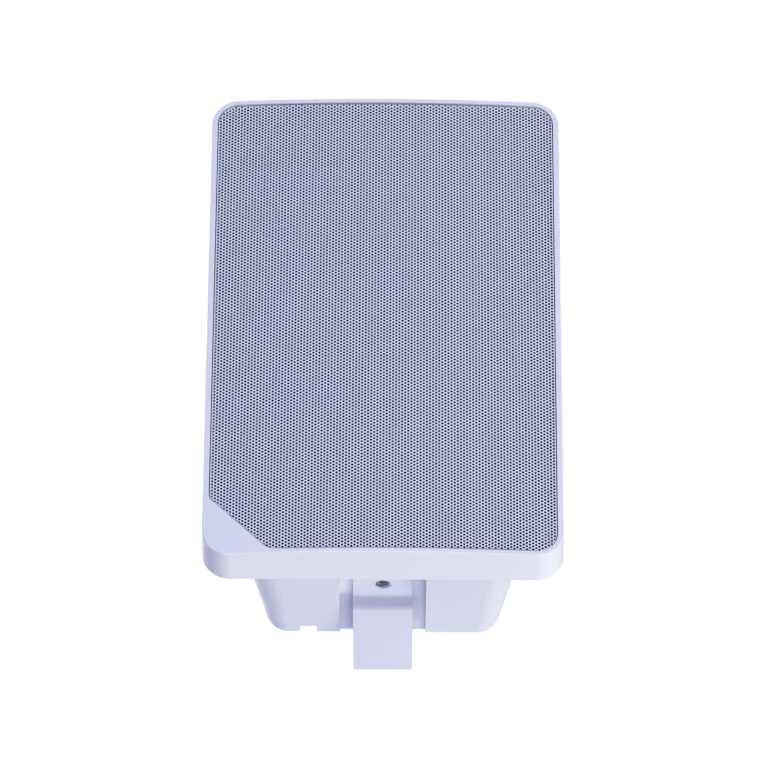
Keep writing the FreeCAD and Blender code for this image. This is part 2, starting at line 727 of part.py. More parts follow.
def make_shell_flange():
    """Flat ring behind the frame's gasket: it carries the tub and closes the front ends of its channels."""
    body = new_body("shell_flange")
    plate = front_sketch(body, "flange_plate", "Place.frame_back_y")
    rounded_box(plate, "Place.inner_half_w - Size.flange_gap", "Place.inner_half_h - Size.flange_gap",
                "Place.inner_corner - Size.flange_gap")
    rounded_box(plate, "Place.shell_half_w - Size.shell_wall", "Place.shell_half_h - Size.shell_wall",
                "Size.shell_corner - Size.shell_wall")
    pad(body, plate, "Size.flange_thickness")
    ends = front_sketch(body, "channel_ends", "Place.frame_back_y")
    half = "(Size.channel_width / 2 + Size.shell_wall)"
    inner, outer = "(Place.channel_floor - Size.shell_wall)", "(Place.shell_half_h - Size.shell_wall / 2)"
    rectangle(ends, "-1 * " + half, inner, half, outer)
    rectangle(ends, "-1 * " + half, "-1 * " + outer, half, "-1 * " + inner)
    pad(body, ends, "Size.flange_thickness")
    holes = front_sketch(body, "flange_holes", "Place.flange_y")
    circles(holes, CASE_SCREW_PLACES, SHANK_HOLE)
    pocket(body, holes, "Size.flange_thickness")


def cut_channels(body, start, start_half_h, stop, stop_half_h):
    """Sink the strap's channels into the top and bottom walls of a tapered ring between two depths."""
    for end, side in ((-1, "bottom"), (1, "top")):
        trough = side_sketch(body, "%s_trough_%s" % (body.Name, side))
        inner = "%d * (Place.channel_floor - Size.shell_wall)" % end
        outline(trough, [(start, "%d * (%s - Size.shell_wall / 2)" % (end, start_half_h)),
                         (stop, "%d * (%s - Size.shell_wall / 2)" % (end, stop_half_h)),
                         (stop, inner), (start, inner)])
        pad(body, trough, "Size.channel_width + 2 * Size.shell_wall", both=True)
        channel = side_sketch(body, "%s_channel_%s" % (body.Name, side))
        floor, beyond = "%d * Place.channel_floor" % end, "%d * Place.frame_half_h" % end
        rectangle(channel, start + " - Size.shell_wall", floor, stop + " + Size.shell_wall", beyond)
        pocket(body, channel, "Size.channel_width", both=True)


def make_rear_shell():
    """Moulded tub: tapered walls with two strap channels, and a boss for a pivot bush in each."""
    body = new_body("rear_shell")
    mouth = front_sketch(body, "shell_mouth", "Place.frame_back_y")
    rounded_box(mouth, "Place.shell_half_w", "Place.shell_half_h", "Size.shell_corner")
    back = front_sketch(body, "shell_back", "Place.panel_y")
    rounded_box(back, "Place.panel_out_w", "Place.panel_out_h", "Place.panel_out_corner")
    loft(body, "AdditiveLoft", mouth, back)
    cavity = front_sketch(body, "cavity_mouth", "Place.frame_back_y")
    rounded_box(cavity, "Place.shell_half_w - Size.shell_wall", "Place.shell_half_h - Size.shell_wall",
                "Size.shell_corner - Size.shell_wall")
    cavity_back = front_sketch(body, "cavity_back", "Place.panel_y")
    rounded_box(cavity_back, "Place.panel_half_w", "Place.panel_half_h", "Place.panel_corner")
    loft(body, "SubtractiveLoft", cavity, cavity_back)
    cut_channels(body, "Place.frame_back_y", "Place.shell_half_h", "Place.panel_y", "Place.panel_out_h")
    for end, side in ((-1, "bottom"), (1, "top")):
        mid_wall = "%d * (Place.channel_floor - Size.shell_wall / 2)" % end
        boss = plan_sketch(body, "pivot_boss_" + side, mid_wall)
        circles(boss, [("0", "Place.pivot_y")], "Size.boss_diameter")
        pad(body, boss, "Size.boss_height - Size.shell_wall / 2", reverse=end > 0)
        bore = plan_sketch(body, "pivot_bore_" + side, "%d * Place.boss_end" % end)
        circles(bore, [("0", "Place.pivot_y")], "Size.bush_diameter + 2 * Size.bush_running_gap")
        pocket(body, bore, "Size.boss_height + Size.shell_wall", reverse=end > 0)


def make_rear_rim():
    """Rear end of the tub: a rim whose front edge is a ledge for the panel, with a notch for the cable."""
    body = new_body("rear_rim")
    front = front_sketch(body, "rim_front", "Place.panel_y")
    rounded_box(front, "Place.panel_out_w", "Place.panel_out_h", "Place.panel_out_corner")
    back = front_sketch(body, "rim_back", "Place.shell_rear_y")
    rounded_box(back, "Place.shell_rear_half_w", "Place.shell_rear_half_h", "Size.shell_rear_corner")
    loft(body, "AdditiveLoft", front, back)
    recess = front_sketch(body, "rear_recess", "Place.shell_rear_y")
    rounded_box(recess, "Place.shell_rear_half_w - Size.shell_wall",
                "Place.shell_rear_half_h - Size.shell_wall", "Size.shell_rear_corner - Size.shell_wall")
    pocket(body, recess, "Size.rear_recess", reverse=True)
    cut_channels(body, "Place.panel_y", "Place.panel_out_h", "Place.shell_rear_y", "Place.shell_rear_half_h")
    round_edges(body, "Size.shell_edge_round", rim_of(body, "Place.shell_rear_y"))

    notch = plan_sketch(body, "cable_notch", "-1 * Place.shell_half_h")
    left = "-1 * Size.notch_offset - Size.notch_width / 2"
    right = "-1 * Size.notch_offset + Size.notch_width / 2"
    start, end = "Place.shell_rear_y - Size.notch_depth", "Place.shell_rear_y + Size.shell_wall"
    corner = "Size.notch_round"
    outline(notch, [(left, end), (left, start, corner), (right, start, corner), (right, end)])
    pocket(body, notch, "Size.shell_end_draw + 2 * Size.shell_wall", reverse=True)


def make_rear_panel():
    """Panel on the rim's ledge, with posts for what stands on it and a slot for the terminals."""
    body = new_body("rear_panel")
    plate = front_sketch(body, "panel_plate", "Place.panel_y")
    rounded_box(plate, "Place.panel_half_w - Size.flange_gap", "Place.panel_half_h - Size.flange_gap",
                "Place.panel_corner - Size.flange_gap")
    pad(body, plate, "Size.shell_wall")
    cuts = front_sketch(body, "trough_cuts", "Place.panel_y")
    half = "(Size.channel_width / 2 + Size.shell_wall + Size.flange_gap)"
    inner = "(Place.channel_floor - Size.shell_wall - Size.flange_gap)"
    rectangle(cuts, "-1 * " + half, inner, half, "Place.shell_half_h")
    rectangle(cuts, "-1 * " + half, "-1 * Place.shell_half_h", half, "-1 * " + inner)
    pocket(body, cuts, "Size.shell_wall", reverse=True)
    tails = front_sketch(body, "terminal_slot", "Place.panel_y")
    half = "(%d * Size.terminal_pitch / 2 + Size.terminal_tail_gap)" % TERMINALS
    slot_half = "(Size.terminal_tail / 2 + Size.terminal_tail_gap)"
    rectangle(tails, "Place.terminal_x - " + half, "Size.terminal_z - " + slot_half,
              "Place.terminal_x + " + half, "Size.terminal_z + " + slot_half)
    pocket(body, tails, "Size.shell_wall", reverse=True)
    posts = front_sketch(body, "panel_posts", "Place.panel_in_y")
    circles(posts, CLAMP_SCREW_PLACES + BOARD_SCREW_PLACES, "Size.post_diameter")
    pad(body, posts, "Size.post_height")
    pilots = front_sketch(body, "post_pilots", "Place.post_y")
    circles(pilots, CLAMP_SCREW_PLACES + BOARD_SCREW_PLACES, PILOT_HOLE)
    pocket(body, pilots, "Size.post_height")


def make_wall_bracket():
    """Steel strap bent into a U: a back plate on the wall and two legs that step in to the pivots."""
    body = new_body("wall_bracket")
    leg = [
        ("Place.pivot_y - Size.strap_tip", "Place.strap_out"),
        ("Place.joggle_y", "Place.strap_out", "Size.bend_radius"),
        ("Place.joggle_end_y", "Place.arm_out", "Place.bend_outer"),
        ("0", "Place.arm_out", "Place.bend_outer"),
    ]
    inside = [
        ("-1 * Size.strap_thickness", "Place.arm_in", "Size.bend_radius"),
        ("Place.joggle_end_y + Place.joggle_shift", "Place.arm_in", "Size.bend_radius"),
        ("Place.joggle_y + Place.joggle_shift", "Place.strap_in", "Place.bend_outer"),
        ("Place.pivot_y - Size.strap_tip", "Place.strap_in"),
    ]
    lower = [(corner[0], "-1 * " + corner[1]) + corner[2:] for corner in leg]
    lower_inside = [(corner[0], "-1 * " + corner[1]) + corner[2:] for corner in inside]
    profile = side_sketch(body, "strap_profile")
    outline(profile, lower + leg[::-1] + inside[::-1] + lower_inside)
    pad(body, profile, "Size.strap_width", both=True)
    pivots = plan_sketch(body, "strap_pivots")
    circles(pivots, [("0", "Place.pivot_y")], "Size.bush_diameter + 2 * Size.bush_running_gap")
    pocket(body, pivots, both=True)
    wall_holes = front_sketch(body, "wall_holes", "0")
    half = "Size.wall_hole_spacing / 2"
    circles(wall_holes, [("0", half), ("0", "-1 * " + half)], "Size.wall_hole_diameter")
    pocket(body, wall_holes, "2 * Size.strap_thickness", reverse=True)
    tip = number("Place.pivot_y - Size.strap_tip") + NEAR
    round_edges(body, "Size.strap_tip_round",
                lambda edge: edge.BoundBox.YMax < tip and edge.BoundBox.ZLength > edge.BoundBox.XLength)


def make_pivot_bush(side, end):
    """Turned steel bush, threaded inside, flanged behind its boss and standing through the strap."""
    body = new_body("pivot_bush_" + side)
    profile = side_sketch(body, "bush_%s_profile" % side)
    profile.setExpression("AttachmentOffset.Base.x", "Place.pivot_y")
    top = "Place.strap_out - Size.bush_end_gap"
    corners = [
        ("Size.bush_core / 2", "Place.boss_end - Size.bush_flange_thickness"),
        ("Size.bush_flange_diameter / 2", "Place.boss_end - Size.bush_flange_thickness"),
        ("Size.bush_flange_diameter / 2", "Place.boss_end"),
        ("Size.bush_diameter / 2", "Place.boss_end"),
        ("Size.bush_diameter / 2", top),
        ("Size.bush_mouth / 2", top),
        ("Size.bush_core / 2", top + " - (Size.bush_mouth - Size.bush_core) / 2"),
    ]
    outline(profile, [(across, "%d * (%s)" % (end, up)) for across, up in corners])
    revolve(body, profile, "V_Axis")


def make_woofer():
    """Cone driver: pressed basket, ferrite motor, and a cone hung between its surround and spider."""
    axis = "Place.woofer_z"
    front = "Place.woofer_y"
    sheet = "Size.basket_sheet"
    gasket = ring_part("woofer_gasket", front + " + " + sheet, "Size.woofer_gasket",
                       "Size.woofer_flange_diameter", "Size.woofer_cutout", axis)
    pierce(gasket, "gasket_holes", "Place.baffle_y", WOOFER_SCREW_PLACES, SHANK_HOLE)

    seat, floor = front + " + Size.spider_seat_depth", front + " + Size.basket_floor_depth"
    basket = turned_part("woofer_basket", [
        (front, "Size.woofer_flange_diameter / 2"),
        (front, "Size.basket_mouth / 2", "Size.basket_bend"),
        (seat, "Size.spider_seat_outer / 2"),
        (seat, "Size.spider_seat_inner / 2"),
        (floor, "Size.basket_floor / 2"),
        (floor, "Size.basket_floor_hole / 2"),
        (floor + " + " + sheet, "Size.basket_floor_hole / 2"),
        (floor + " + " + sheet, "Size.basket_floor / 2 + " + sheet),
        (seat + " + " + sheet, "Size.spider_seat_inner / 2 + " + sheet),
        (seat + " + " + sheet, "Size.spider_seat_outer / 2 + " + sheet),
        (front + " + " + sheet, "Size.basket_mouth / 2 + " + sheet),
        (front + " + " + sheet, "Size.woofer_flange_diameter / 2"),
    ], axis)
    window = front_sketch(basket, "basket_window", seat, axis)
    near, far = "Size.window_inner / 2", "Size.window_outer / 2"
    lean, rise = "cos(Size.window_angle / 2)", "sin(Size.window_angle / 2)"
    outline(window, [("%s * %s" % (near, lean), "-1 * %s * %s" % (near, rise)),
                     ("%s * %s" % (far, lean), "-1 * %s * %s" % (far, rise)),
                     ("%s * %s" % (far, lean), "%s * %s" % (far, rise)),
                     ("%s * %s" % (near, lean), "%s * %s" % (near, rise))])
    cut = pocket(basket, window, "Size.spider_seat_depth - " + sheet, reverse=True)
    ring = basket.newObject("PartDesign::PolarPattern", "basket_windows")
    ring.Originals = [cut]
    ring.Axis = (window, ["N_Axis"])
    ring.Angle = 360
    ring.Occurrences = BASKET_WINDOWS
    basket.Tip = ring
    doc.recompute()
    pierce(basket, "basket_holes", "Place.baffle_y", WOOFER_SCREW_PLACES, SHANK_HOLE)

    ring_part("woofer_top_plate", "Place.top_plate_y", "Size.top_plate_thickness",
              "Size.top_plate_diameter", "Size.top_plate_bore", axis)
    ring_part("woofer_magnet", "Place.magnet_y", "Size.magnet_thickness",
              "Size.magnet_diameter", "Size.magnet_bore", axis)
    turned_part("woofer_yoke", [
        ("Place.top_plate_y", "Size.pole_vent / 2"), ("Place.top_plate_y", "Size.pole_diameter / 2"),
        ("Place.yoke_y", "Size.pole_diameter / 2"), ("Place.yoke_y", "Size.yoke_diameter / 2"),
        ("Place.yoke_y + Size.yoke_thickness", "Size.yoke_diameter / 2"),
        ("Place.yoke_y + Size.yoke_thickness", "Size.pole_vent / 2")], axis)

    turned_part("woofer_voice_coil", [
        ("Place.former_start_y", "Size.coil_bore / 2"), ("Place.former_start_y", "Place.former_out"),
        ("Place.former_end_y - Size.winding_length", "Place.former_out"),
        ("Place.former_end_y - Size.winding_length", "Place.former_out + Size.winding_build"),
        ("Place.former_end_y", "Place.former_out + Size.winding_build"),
        ("Place.former_end_y", "Size.coil_bore / 2")], axis)
    make_moving_cone(axis, front)


def make_moving_cone(axis, front):
    """Paper cone and dust cap, with the rubber surround and the corrugated spider that hold them."""
    paper, edge, neck = "Size.cone_paper", "Size.cone_edge / 2", "Place.former_out"
    middle_r = "(%s + %s) / 2" % (edge, neck)
    middle_y = "(%s + Place.cone_neck_y) / 2 - Size.cone_bow" % front
    turned_part("woofer_cone", [
        ("Place.cone_neck_y", neck),
        (middle_y, middle_r, edge),
        (front, edge + " - Size.cone_rim"),
        (front, edge),
        (front + " + " + paper, edge),
        (front + " + " + paper, edge + " - Size.cone_rim"),
        (middle_y + " + " + paper, middle_r, edge),
        ("Place.cone_neck_y + " + paper, neck),
    ], axis)
    rubber, lip = "Size.surround_rubber", "Size.surround_lip"
    top, under = front + " - Size.surround_rise", front + " - Size.surround_rise + " + rubber
    outer = edge + " + Size.surround_roll"
    bend, under_bend = ("(Size.surround_roll - %d * %s) * Size.surround_bend" % (layers, rubber)
                        for layers in (0, 2))
    turned_part("woofer_surround", [
        (front, edge + " - Size.cone_rim"), (front, edge + " + " + rubber),
        (under, edge + " + " + rubber, under_bend), (under, outer + " - " + rubber, under_bend),
        (front, outer + " - " + rubber), (front, outer + " + " + lip),
        (front + " - " + rubber, outer + " + " + lip), (front + " - " + rubber, outer),
        (top, outer, bend), (top, edge, bend),
        (front + " - " + rubber, edge), (front + " - " + rubber, edge + " - Size.cone_rim"),
    ], axis)
    make_spider(axis, front + " + Size.spider_seat_depth")
    rise, half = "Size.dust_cap_rise", "Size.dust_cap_diameter / 2"
    slope = "(%s - Place.cone_neck_y) / (%s - %s)" % (middle_y, middle_r, neck)
    foot = "Place.cone_neck_y + (%s - %s) * %s" % (half, neck, slope)
    dome_part("woofer_dust_cap", foot, half, rise, "Size.dust_cap_wall", axis)


def make_spider(axis, seat):
    """Corrugated cloth ring from the voice coil's former to its seat in the basket."""
    cloth, hub = "Size.spider_cloth", "Place.former_out"
    lip = "Size.spider_seat_inner / 2"
    edge = "Size.spider_seat_outer / 2 - " + cloth
    count = 2 * SPIDER_WAVES
    front = [(seat + " - " + cloth, edge), (seat + " - " + cloth, lip)]
    for index in range(1, count):
        way = 1 if index % 2 else -1
        front.append(("%s - %s + %d * Size.spider_wave" % (seat, cloth, way),
                      "%s + (%s - %s) * %f" % (lip, hub, lip, index / count)))
    front.append((seat + " - " + cloth, hub))
    back = [(y + " + " + cloth, r) for y, r in reversed(front)]
    turned_part("woofer_spider", front + back, axis)


def make_tweeter():
    """Dome tweeter: a faceplate with a flared mouth, a soft dome behind it and a small motor."""
    axis, front, seat = "Place.tweeter_z", "Place.tweeter_y", "Place.tweeter_seat_y"
    plate = turned_part("tweeter_faceplate", [
        (front, "Size.tweeter_mouth / 2"), (front, "Size.tweeter_diameter / 2"),
        ("Place.baffle_y", "Size.tweeter_diameter / 2"), ("Place.baffle_y", "Size.tweeter_collar / 2"),
        (seat, "Size.tweeter_collar / 2"), (seat, "Size.tweeter_throat / 2")], axis)
    pierce(plate, "faceplate_holes", "Place.baffle_y", TWEETER_SCREW_PLACES, SHANK_HOLE)
    wall = "Size.dome_wall"
    dome_part("tweeter_dome", seat, "Size.dome_diameter / 2", "Size.dome_rise", wall, axis,
              "Size.dome_rim / 2")
    start = seat + " + " + wall
    end = start + " + Size.tweeter_magnet_thickness"
    ring_part("tweeter_magnet", start, "Size.tweeter_magnet_thickness",
              "Size.tweeter_magnet_diameter", "Size.tweeter_magnet_bore", axis)
    turned_part("tweeter_yoke", [
        (start, "0"), (start, "Size.tweeter_pole / 2 - " + wall), (end, "Size.tweeter_pole / 2 - " + wall),
        (end, "Size.tweeter_magnet_diameter / 2"),
        (end + " + Size.tweeter_yoke_thickness", "Size.tweeter_magnet_diameter / 2"),
        (end + " + Size.tweeter_yoke_thickness", "0")], axis)


def make_transformer():
    """Line transformer: a laminated core, its winding, and a clamp with two feet on the panel posts."""
    x, z, gap = "Place.transformer_x", "Size.transformer_z", "Size.winding_gap"
    half, limb = "Size.core_width / 2", "Size.core_limb"
    back, front = "Place.post_y", "Place.core_front_y"
    core = new_body("transformer_core")
    plates = side_sketch(core, "core_plates", z, x)
    rectangle(plates, front, "-1 * " + half, back, half)
    inside = "%s - %s" % (half, limb)
    for low, high in (("-1 * (%s)" % inside, "-1 * " + limb), (limb, inside)):
        rectangle(plates, "%s + %s" % (front, limb), low, "%s - %s" % (back, limb), high)
    pad(core, plates, "Size.core_stack", both=True)

    winding = new_body("transformer_winding")
    turns = front_sketch(winding, "winding_turns", "%s - %s - %s" % (back, limb, gap))
    outer_x, outer_z = "Place.winding_half_w", "(%s - %s - %s)" % (half, limb, gap)
    inner_x, inner_z = "(Size.core_stack / 2 + %s)" % gap, "(%s + %s)" % (limb, gap)
    swell = "Size.winding_swell"
    outline(turns, [("%s - %s" % (x, outer_x), "%s - %s" % (z, outer_z), swell),
                    ("%s + %s" % (x, outer_x), "%s - %s" % (z, outer_z), swell),
                    ("%s + %s" % (x, outer_x), "%s + %s" % (z, outer_z), swell),
                    ("%s - %s" % (x, outer_x), "%s + %s" % (z, outer_z), swell)])
    rectangle(turns, "%s - %s" % (x, inner_x), "%s - %s" % (z, inner_z),
              "%s + %s" % (x, inner_x), "%s + %s" % (z, inner_z))
    pad(winding, turns, "Size.core_height - 2 * %s - 2 * %s" % (limb, gap))

    clamp = new_body("transformer_clamp")
    strap = side_sketch(clamp, "clamp_strap", z, x)
    sheet, foot = "Size.clamp_sheet", "Size.clamp_foot"
    toe = "%s + %s + %s" % (half, sheet, foot)
    outer, top, step = "%s + %s" % (half, sheet), "%s - %s" % (front, sheet), "%s - %s" % (back, sheet)
    upper = [(front, half), (back, half), (back, toe), (step, toe), (step, outer), (top, outer)]
    outline(strap, upper + [(y, "-1 * (%s)" % reach) for y, reach in reversed(upper)])
    pad(clamp, strap, "Size.core_stack", both=True)
    pierce(clamp, "clamp_holes", back, CLAMP_SCREW_PLACES, SHANK_HOLE)


def make_crossover():
    """Crossover: a board on four posts with an air coil and a capacitor lying on it."""
    x, z = "Place.board_x", "Size.board_z"
    board = new_body("crossover_board")
    face = front_sketch(board, "board_face", "Place.post_y")
    rectangle(face, x + " - Size.board_width / 2", z + " - Size.board_height / 2",
              x + " + Size.board_width / 2", z + " + Size.board_height / 2")
    pad(board, face, "Size.board_thickness")
    pierce(board, "board_holes", "Place.post_y", BOARD_SCREW_PLACES, SHANK_HOLE)
    coil = new_body("crossover_coil")
    turns = front_sketch(coil, "coil_turns", "Place.board_y")
    circles(turns, [(x, z + " + Size.coil_offset")], "Size.coil_diameter")
    circles(turns, [(x, z + " + Size.coil_offset")], "Size.coil_hole")
    pad(coil, turns, "Size.coil_height")
    capacitor = new_body("crossover_capacitor")
    can = plan_sketch(capacitor, "capacitor_can", z + " - Size.capacitor_offset")
    circles(can, [(x, "Place.board_y - Size.capacitor_diameter / 2")], "Size.capacitor_diameter")
    pad(capacitor, can, "Size.capacitor_length", both=True)


def make_terminals():
    """Screw terminal block in the rear recess: wells between barriers and a tail through the panel."""
    body = new_body("terminal_block")
    x, z = "Place.terminal_x", "Size.terminal_z"
    half = "%d * Size.terminal_pitch / 2" % TERMINALS
    block = front_sketch(body, "block_base", "Place.panel_y")
    rectangle(block, x + " - Place.terminal_half", z + " - Size.terminal_height / 2",
              x + " + Place.terminal_half", z + " + Size.terminal_height / 2")
    pad(body, block, "Size.terminal_depth", reverse=True)
    wells = front_sketch(body, "block_wells", "Place.panel_y + Size.terminal_depth")
    half_well = "(Size.terminal_pitch - Size.terminal_rib) / 2"
    for across, up in TERMINAL_PLACES:
        rectangle(wells, "%s - %s" % (across, half_well), up + " - Size.terminal_height",
                  "%s + %s" % (across, half_well), up + " + Size.terminal_height")
    pocket(body, wells, "Size.terminal_well", reverse=True)
    tail = front_sketch(body, "block_tail", "Place.panel_y")
    rectangle(tail, "%s - %s" % (x, half), z + " - Size.terminal_tail / 2",
              "%s + %s" % (x, half), z + " + Size.terminal_tail / 2")
    pad(body, tail, "2 * Size.shell_wall")
    floor = "Place.panel_y + Size.terminal_depth - Size.terminal_well"
    sockets = front_sketch(body, "block_sockets", floor)
    circles(sockets, TERMINAL_PLACES, PILOT_HOLE)
    pocket(body, sockets, "Size.terminal_well", reverse=True)

    screw = new_body("terminal_screws")
    heads = front_sketch(screw, "terminal_heads", floor)
    circles(heads, TERMINAL_PLACES, "Size.terminal_screw")
    pad(screw, heads, "Size.terminal_screw_height", reverse=True)
    shanks = front_sketch(screw, "terminal_shanks", floor)
    circles(shanks, TERMINAL_PLACES, "Size.screw_shank")
    pad(screw, shanks, "Size.terminal_well - Size.screw_hole_gap")


def check_and_write():
    """Stop if any object failed or any sub-part has a bad shape, then write one file for each sub-part."""
    doc.recompute()
    failed = [item.Label for item in doc.Objects if "Invalid" in item.State or "Error" in item.State]
    failed += [part.Label for part in sub_parts if part.Shape.isNull() or not part.Shape.isValid()]
    if failed:
        raise RuntimeError("failed: " + ", ".join(failed))
    os.makedirs("parts", exist_ok=True)
    for part in sub_parts:
        part.Shape.exportStep("parts/%s.step" % part.Label)
        print("%-20s %d solids, %.1f mm3" % (part.Label, len(part.Shape.Solids), part.Shape.Volume))


make_front_frame()
make_front_grille()
make_grille_cloth()
make_seal_gasket()
make_shell_flange()
make_rear_shell()
make_rear_rim()
make_rear_panel()
screws("case_screws", CASE_SCREW_PLACES, "Place.frame_back_y", "Size.case_screw_length", True)
make_wall_bracket()
make_pivot_bush("bottom", -1)
make_pivot_bush("top", 1)
make_woofer()
screws("woofer_screws", WOOFER_SCREW_PLACES, "Place.woofer_y", "Size.driver_screw_length", False)
make_tweeter()
screws("tweeter_screws", TWEETER_SCREW_PLACES, "Place.tweeter_y", "Size.driver_screw_length", False)
make_transformer()
screws("transformer_screws", CLAMP_SCREW_PLACES, "Place.post_y - Size.clamp_sheet",
       "Size.inner_screw_length", False)
make_crossover()
screws("crossover_screws", BOARD_SCREW_PLACES, "Place.board_y", "Size.inner_screw_length", False)
make_terminals()
check_and_write()
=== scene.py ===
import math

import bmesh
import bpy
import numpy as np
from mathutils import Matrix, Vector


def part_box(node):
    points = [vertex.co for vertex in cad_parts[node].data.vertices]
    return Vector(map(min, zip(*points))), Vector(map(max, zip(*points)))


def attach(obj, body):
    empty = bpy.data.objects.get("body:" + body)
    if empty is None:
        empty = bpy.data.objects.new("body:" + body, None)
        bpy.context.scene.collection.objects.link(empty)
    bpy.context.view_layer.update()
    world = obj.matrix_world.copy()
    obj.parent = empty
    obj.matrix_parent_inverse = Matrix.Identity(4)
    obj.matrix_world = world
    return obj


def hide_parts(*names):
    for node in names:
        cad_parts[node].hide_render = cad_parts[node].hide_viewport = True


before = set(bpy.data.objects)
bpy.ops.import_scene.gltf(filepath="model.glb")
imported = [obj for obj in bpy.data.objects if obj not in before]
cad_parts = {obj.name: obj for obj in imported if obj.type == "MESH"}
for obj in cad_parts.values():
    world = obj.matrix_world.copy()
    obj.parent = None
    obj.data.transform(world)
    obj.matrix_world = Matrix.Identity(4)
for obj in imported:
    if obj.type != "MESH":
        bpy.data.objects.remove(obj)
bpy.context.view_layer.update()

# %% [markdown]
# # A wall speaker for announcements
# The speaker is a moulded cabinet behind a crowned perforated grille, and it hangs on a bent steel strap.
# The CAD solids come in as a fixed frame in metres, and this lesson gives them finishes and adds what
# solids can't carry well: sixteen thousand small holes, a woven cloth, threads and screw recesses.

MM = 0.001
PICTURE = 768

# %% [markdown]
# ## Camera
# The speaker was photographed from below with a long lens, so the front tapers only a little.
# The camera could be moved by hand until the picture agrees, but the spacing of the grille's holes and the
# corners of the frame already give the view: thirty-one degrees below the horizon, about three metres away,
# turned and rolled by a fraction of a degree. It aims under the front's middle, because the strap hangs
# below.

# %% Camera at the photographer's place
LENS_PIXELS = 5500
CAMERA_DISTANCE = 3.111
CAMERA_AZIMUTH = math.radians(0.135)
CAMERA_ELEVATION = math.radians(-30.77)
CAMERA_ROLL = math.radians(0.36)
SENSOR_WIDTH = 36.0
SEE_FAR = 50.0
AIM_DROP = 36.5 * MM
AIM_SIDE = 0.1 * MM
frame_low, frame_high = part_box("front_frame")
FRONT_CENTRE = Vector((0, frame_low.y, 0))

level = math.cos(CAMERA_ELEVATION)
back = Vector((level * math.sin(CAMERA_AZIMUTH), -level * math.cos(CAMERA_AZIMUTH),
               math.sin(CAMERA_ELEVATION)))
level_right = Vector((math.cos(CAMERA_AZIMUTH), math.sin(CAMERA_AZIMUTH), 0))
level_up = back.cross(level_right)
right = level_right * math.cos(CAMERA_ROLL) + level_up * math.sin(CAMERA_ROLL)
up = level_up * math.cos(CAMERA_ROLL) - level_right * math.sin(CAMERA_ROLL)

camera = bpy.data.objects.new("camera", bpy.data.cameras.new("camera"))
camera.data.sensor_width = SENSOR_WIDTH
camera.data.lens = SENSOR_WIDTH * LENS_PIXELS / PICTURE
camera.data.clip_end = SEE_FAR
place = FRONT_CENTRE - up * AIM_DROP - right * AIM_SIDE + back * CAMERA_DISTANCE
camera.matrix_world = Matrix.Translation(place) @ Matrix((right, up, back)).transposed().to_4x4()
bpy.context.collection.objects.link(camera)
bpy.context.scene.camera = camera
bpy.context.scene.view_settings.view_transform = "Standard"
print("camera at", [round(v, 3) for v in place], "lens", round(camera.data.lens, 1), "mm")

# %% [markdown]
# ## Nodes and colours
# Every finish below is a small graph of nodes. One function adds a node, sets it up and links it, and one
# turns a hex colour as a painter would name it into the linear light that the renderer works in.

# %% One helper for nodes and one for colours
def linear(hex_colour):
    """The linear RGBA of an sRGB hex colour."""
    parts = [int(hex_colour[i:i + 2], 16) / 255 for i in (0, 2, 4)]
    return [p / 12.92 if p <= 0.04045 else ((p + 0.055) / 1.055) ** 2.4 for p in parts] + [1.0]


def add_node(tree, kind, settings=None, **inputs):
    """Add a node, set its properties, and link or set its inputs; underscores in names stand for spaces."""
    node = tree.nodes.new(kind)
    for name, value in (settings or {}).items():
        setattr(node, name, value)
    for name, value in inputs.items():
        key = int(name[1:]) if name[1:].isdigit() else name.replace("_", " ")
        if isinstance(value, bpy.types.NodeSocket):
            tree.links.new(value, node.inputs[key])
        else:
            node.inputs[key].default_value = value
    return node


print("white in linear light", linear("FFFFFF"))

# %% [markdown]
# ## Studio
# A speaker for announcements hangs high, so the pale floor lies over three metres down and the low camera
# still looks over it. Background and floor are white only to the eye: rays from the camera and mirror rays
# see them white, and the light that falls on the speaker is a dim bluish sky and a few soft lamps.

# %% World and floor
FLOOR_DROP = 3.4
FLOOR_HALF = 6.0
FLOOR_GLOW = 0.8
SKY = 0.29

world = bpy.data.worlds.new("studio")
bpy.context.scene.world = world
world.use_nodes = True
sky = world.node_tree
sky.nodes.clear()


def seen_by_eye(tree):
    """One for rays from the camera, from mirrors and through glass, and nought for light on the speaker."""
    rays = add_node(tree, "ShaderNodeLightPath")
    seen = add_node(tree, "ShaderNodeMath", {"operation": "ADD"},
                    _0=rays.outputs["Is Camera Ray"], _1=rays.outputs["Is Glossy Ray"])
    return add_node(tree, "ShaderNodeMath", {"operation": "ADD", "use_clamp": True},
                    _0=seen.outputs[0], _1=rays.outputs["Is Transmission Ray"])


dim = add_node(sky, "ShaderNodeBackground", Color=linear("B6C5FF"), Strength=SKY)
white = add_node(sky, "ShaderNodeBackground", Color=linear("FFFFFF"), Strength=1.0)
mixed = add_node(sky, "ShaderNodeMixShader", _0=seen_by_eye(sky).outputs[0], _1=dim.outputs[0],
                 _2=white.outputs[0])
add_node(sky, "ShaderNodeOutputWorld", Surface=mixed.outputs[0])

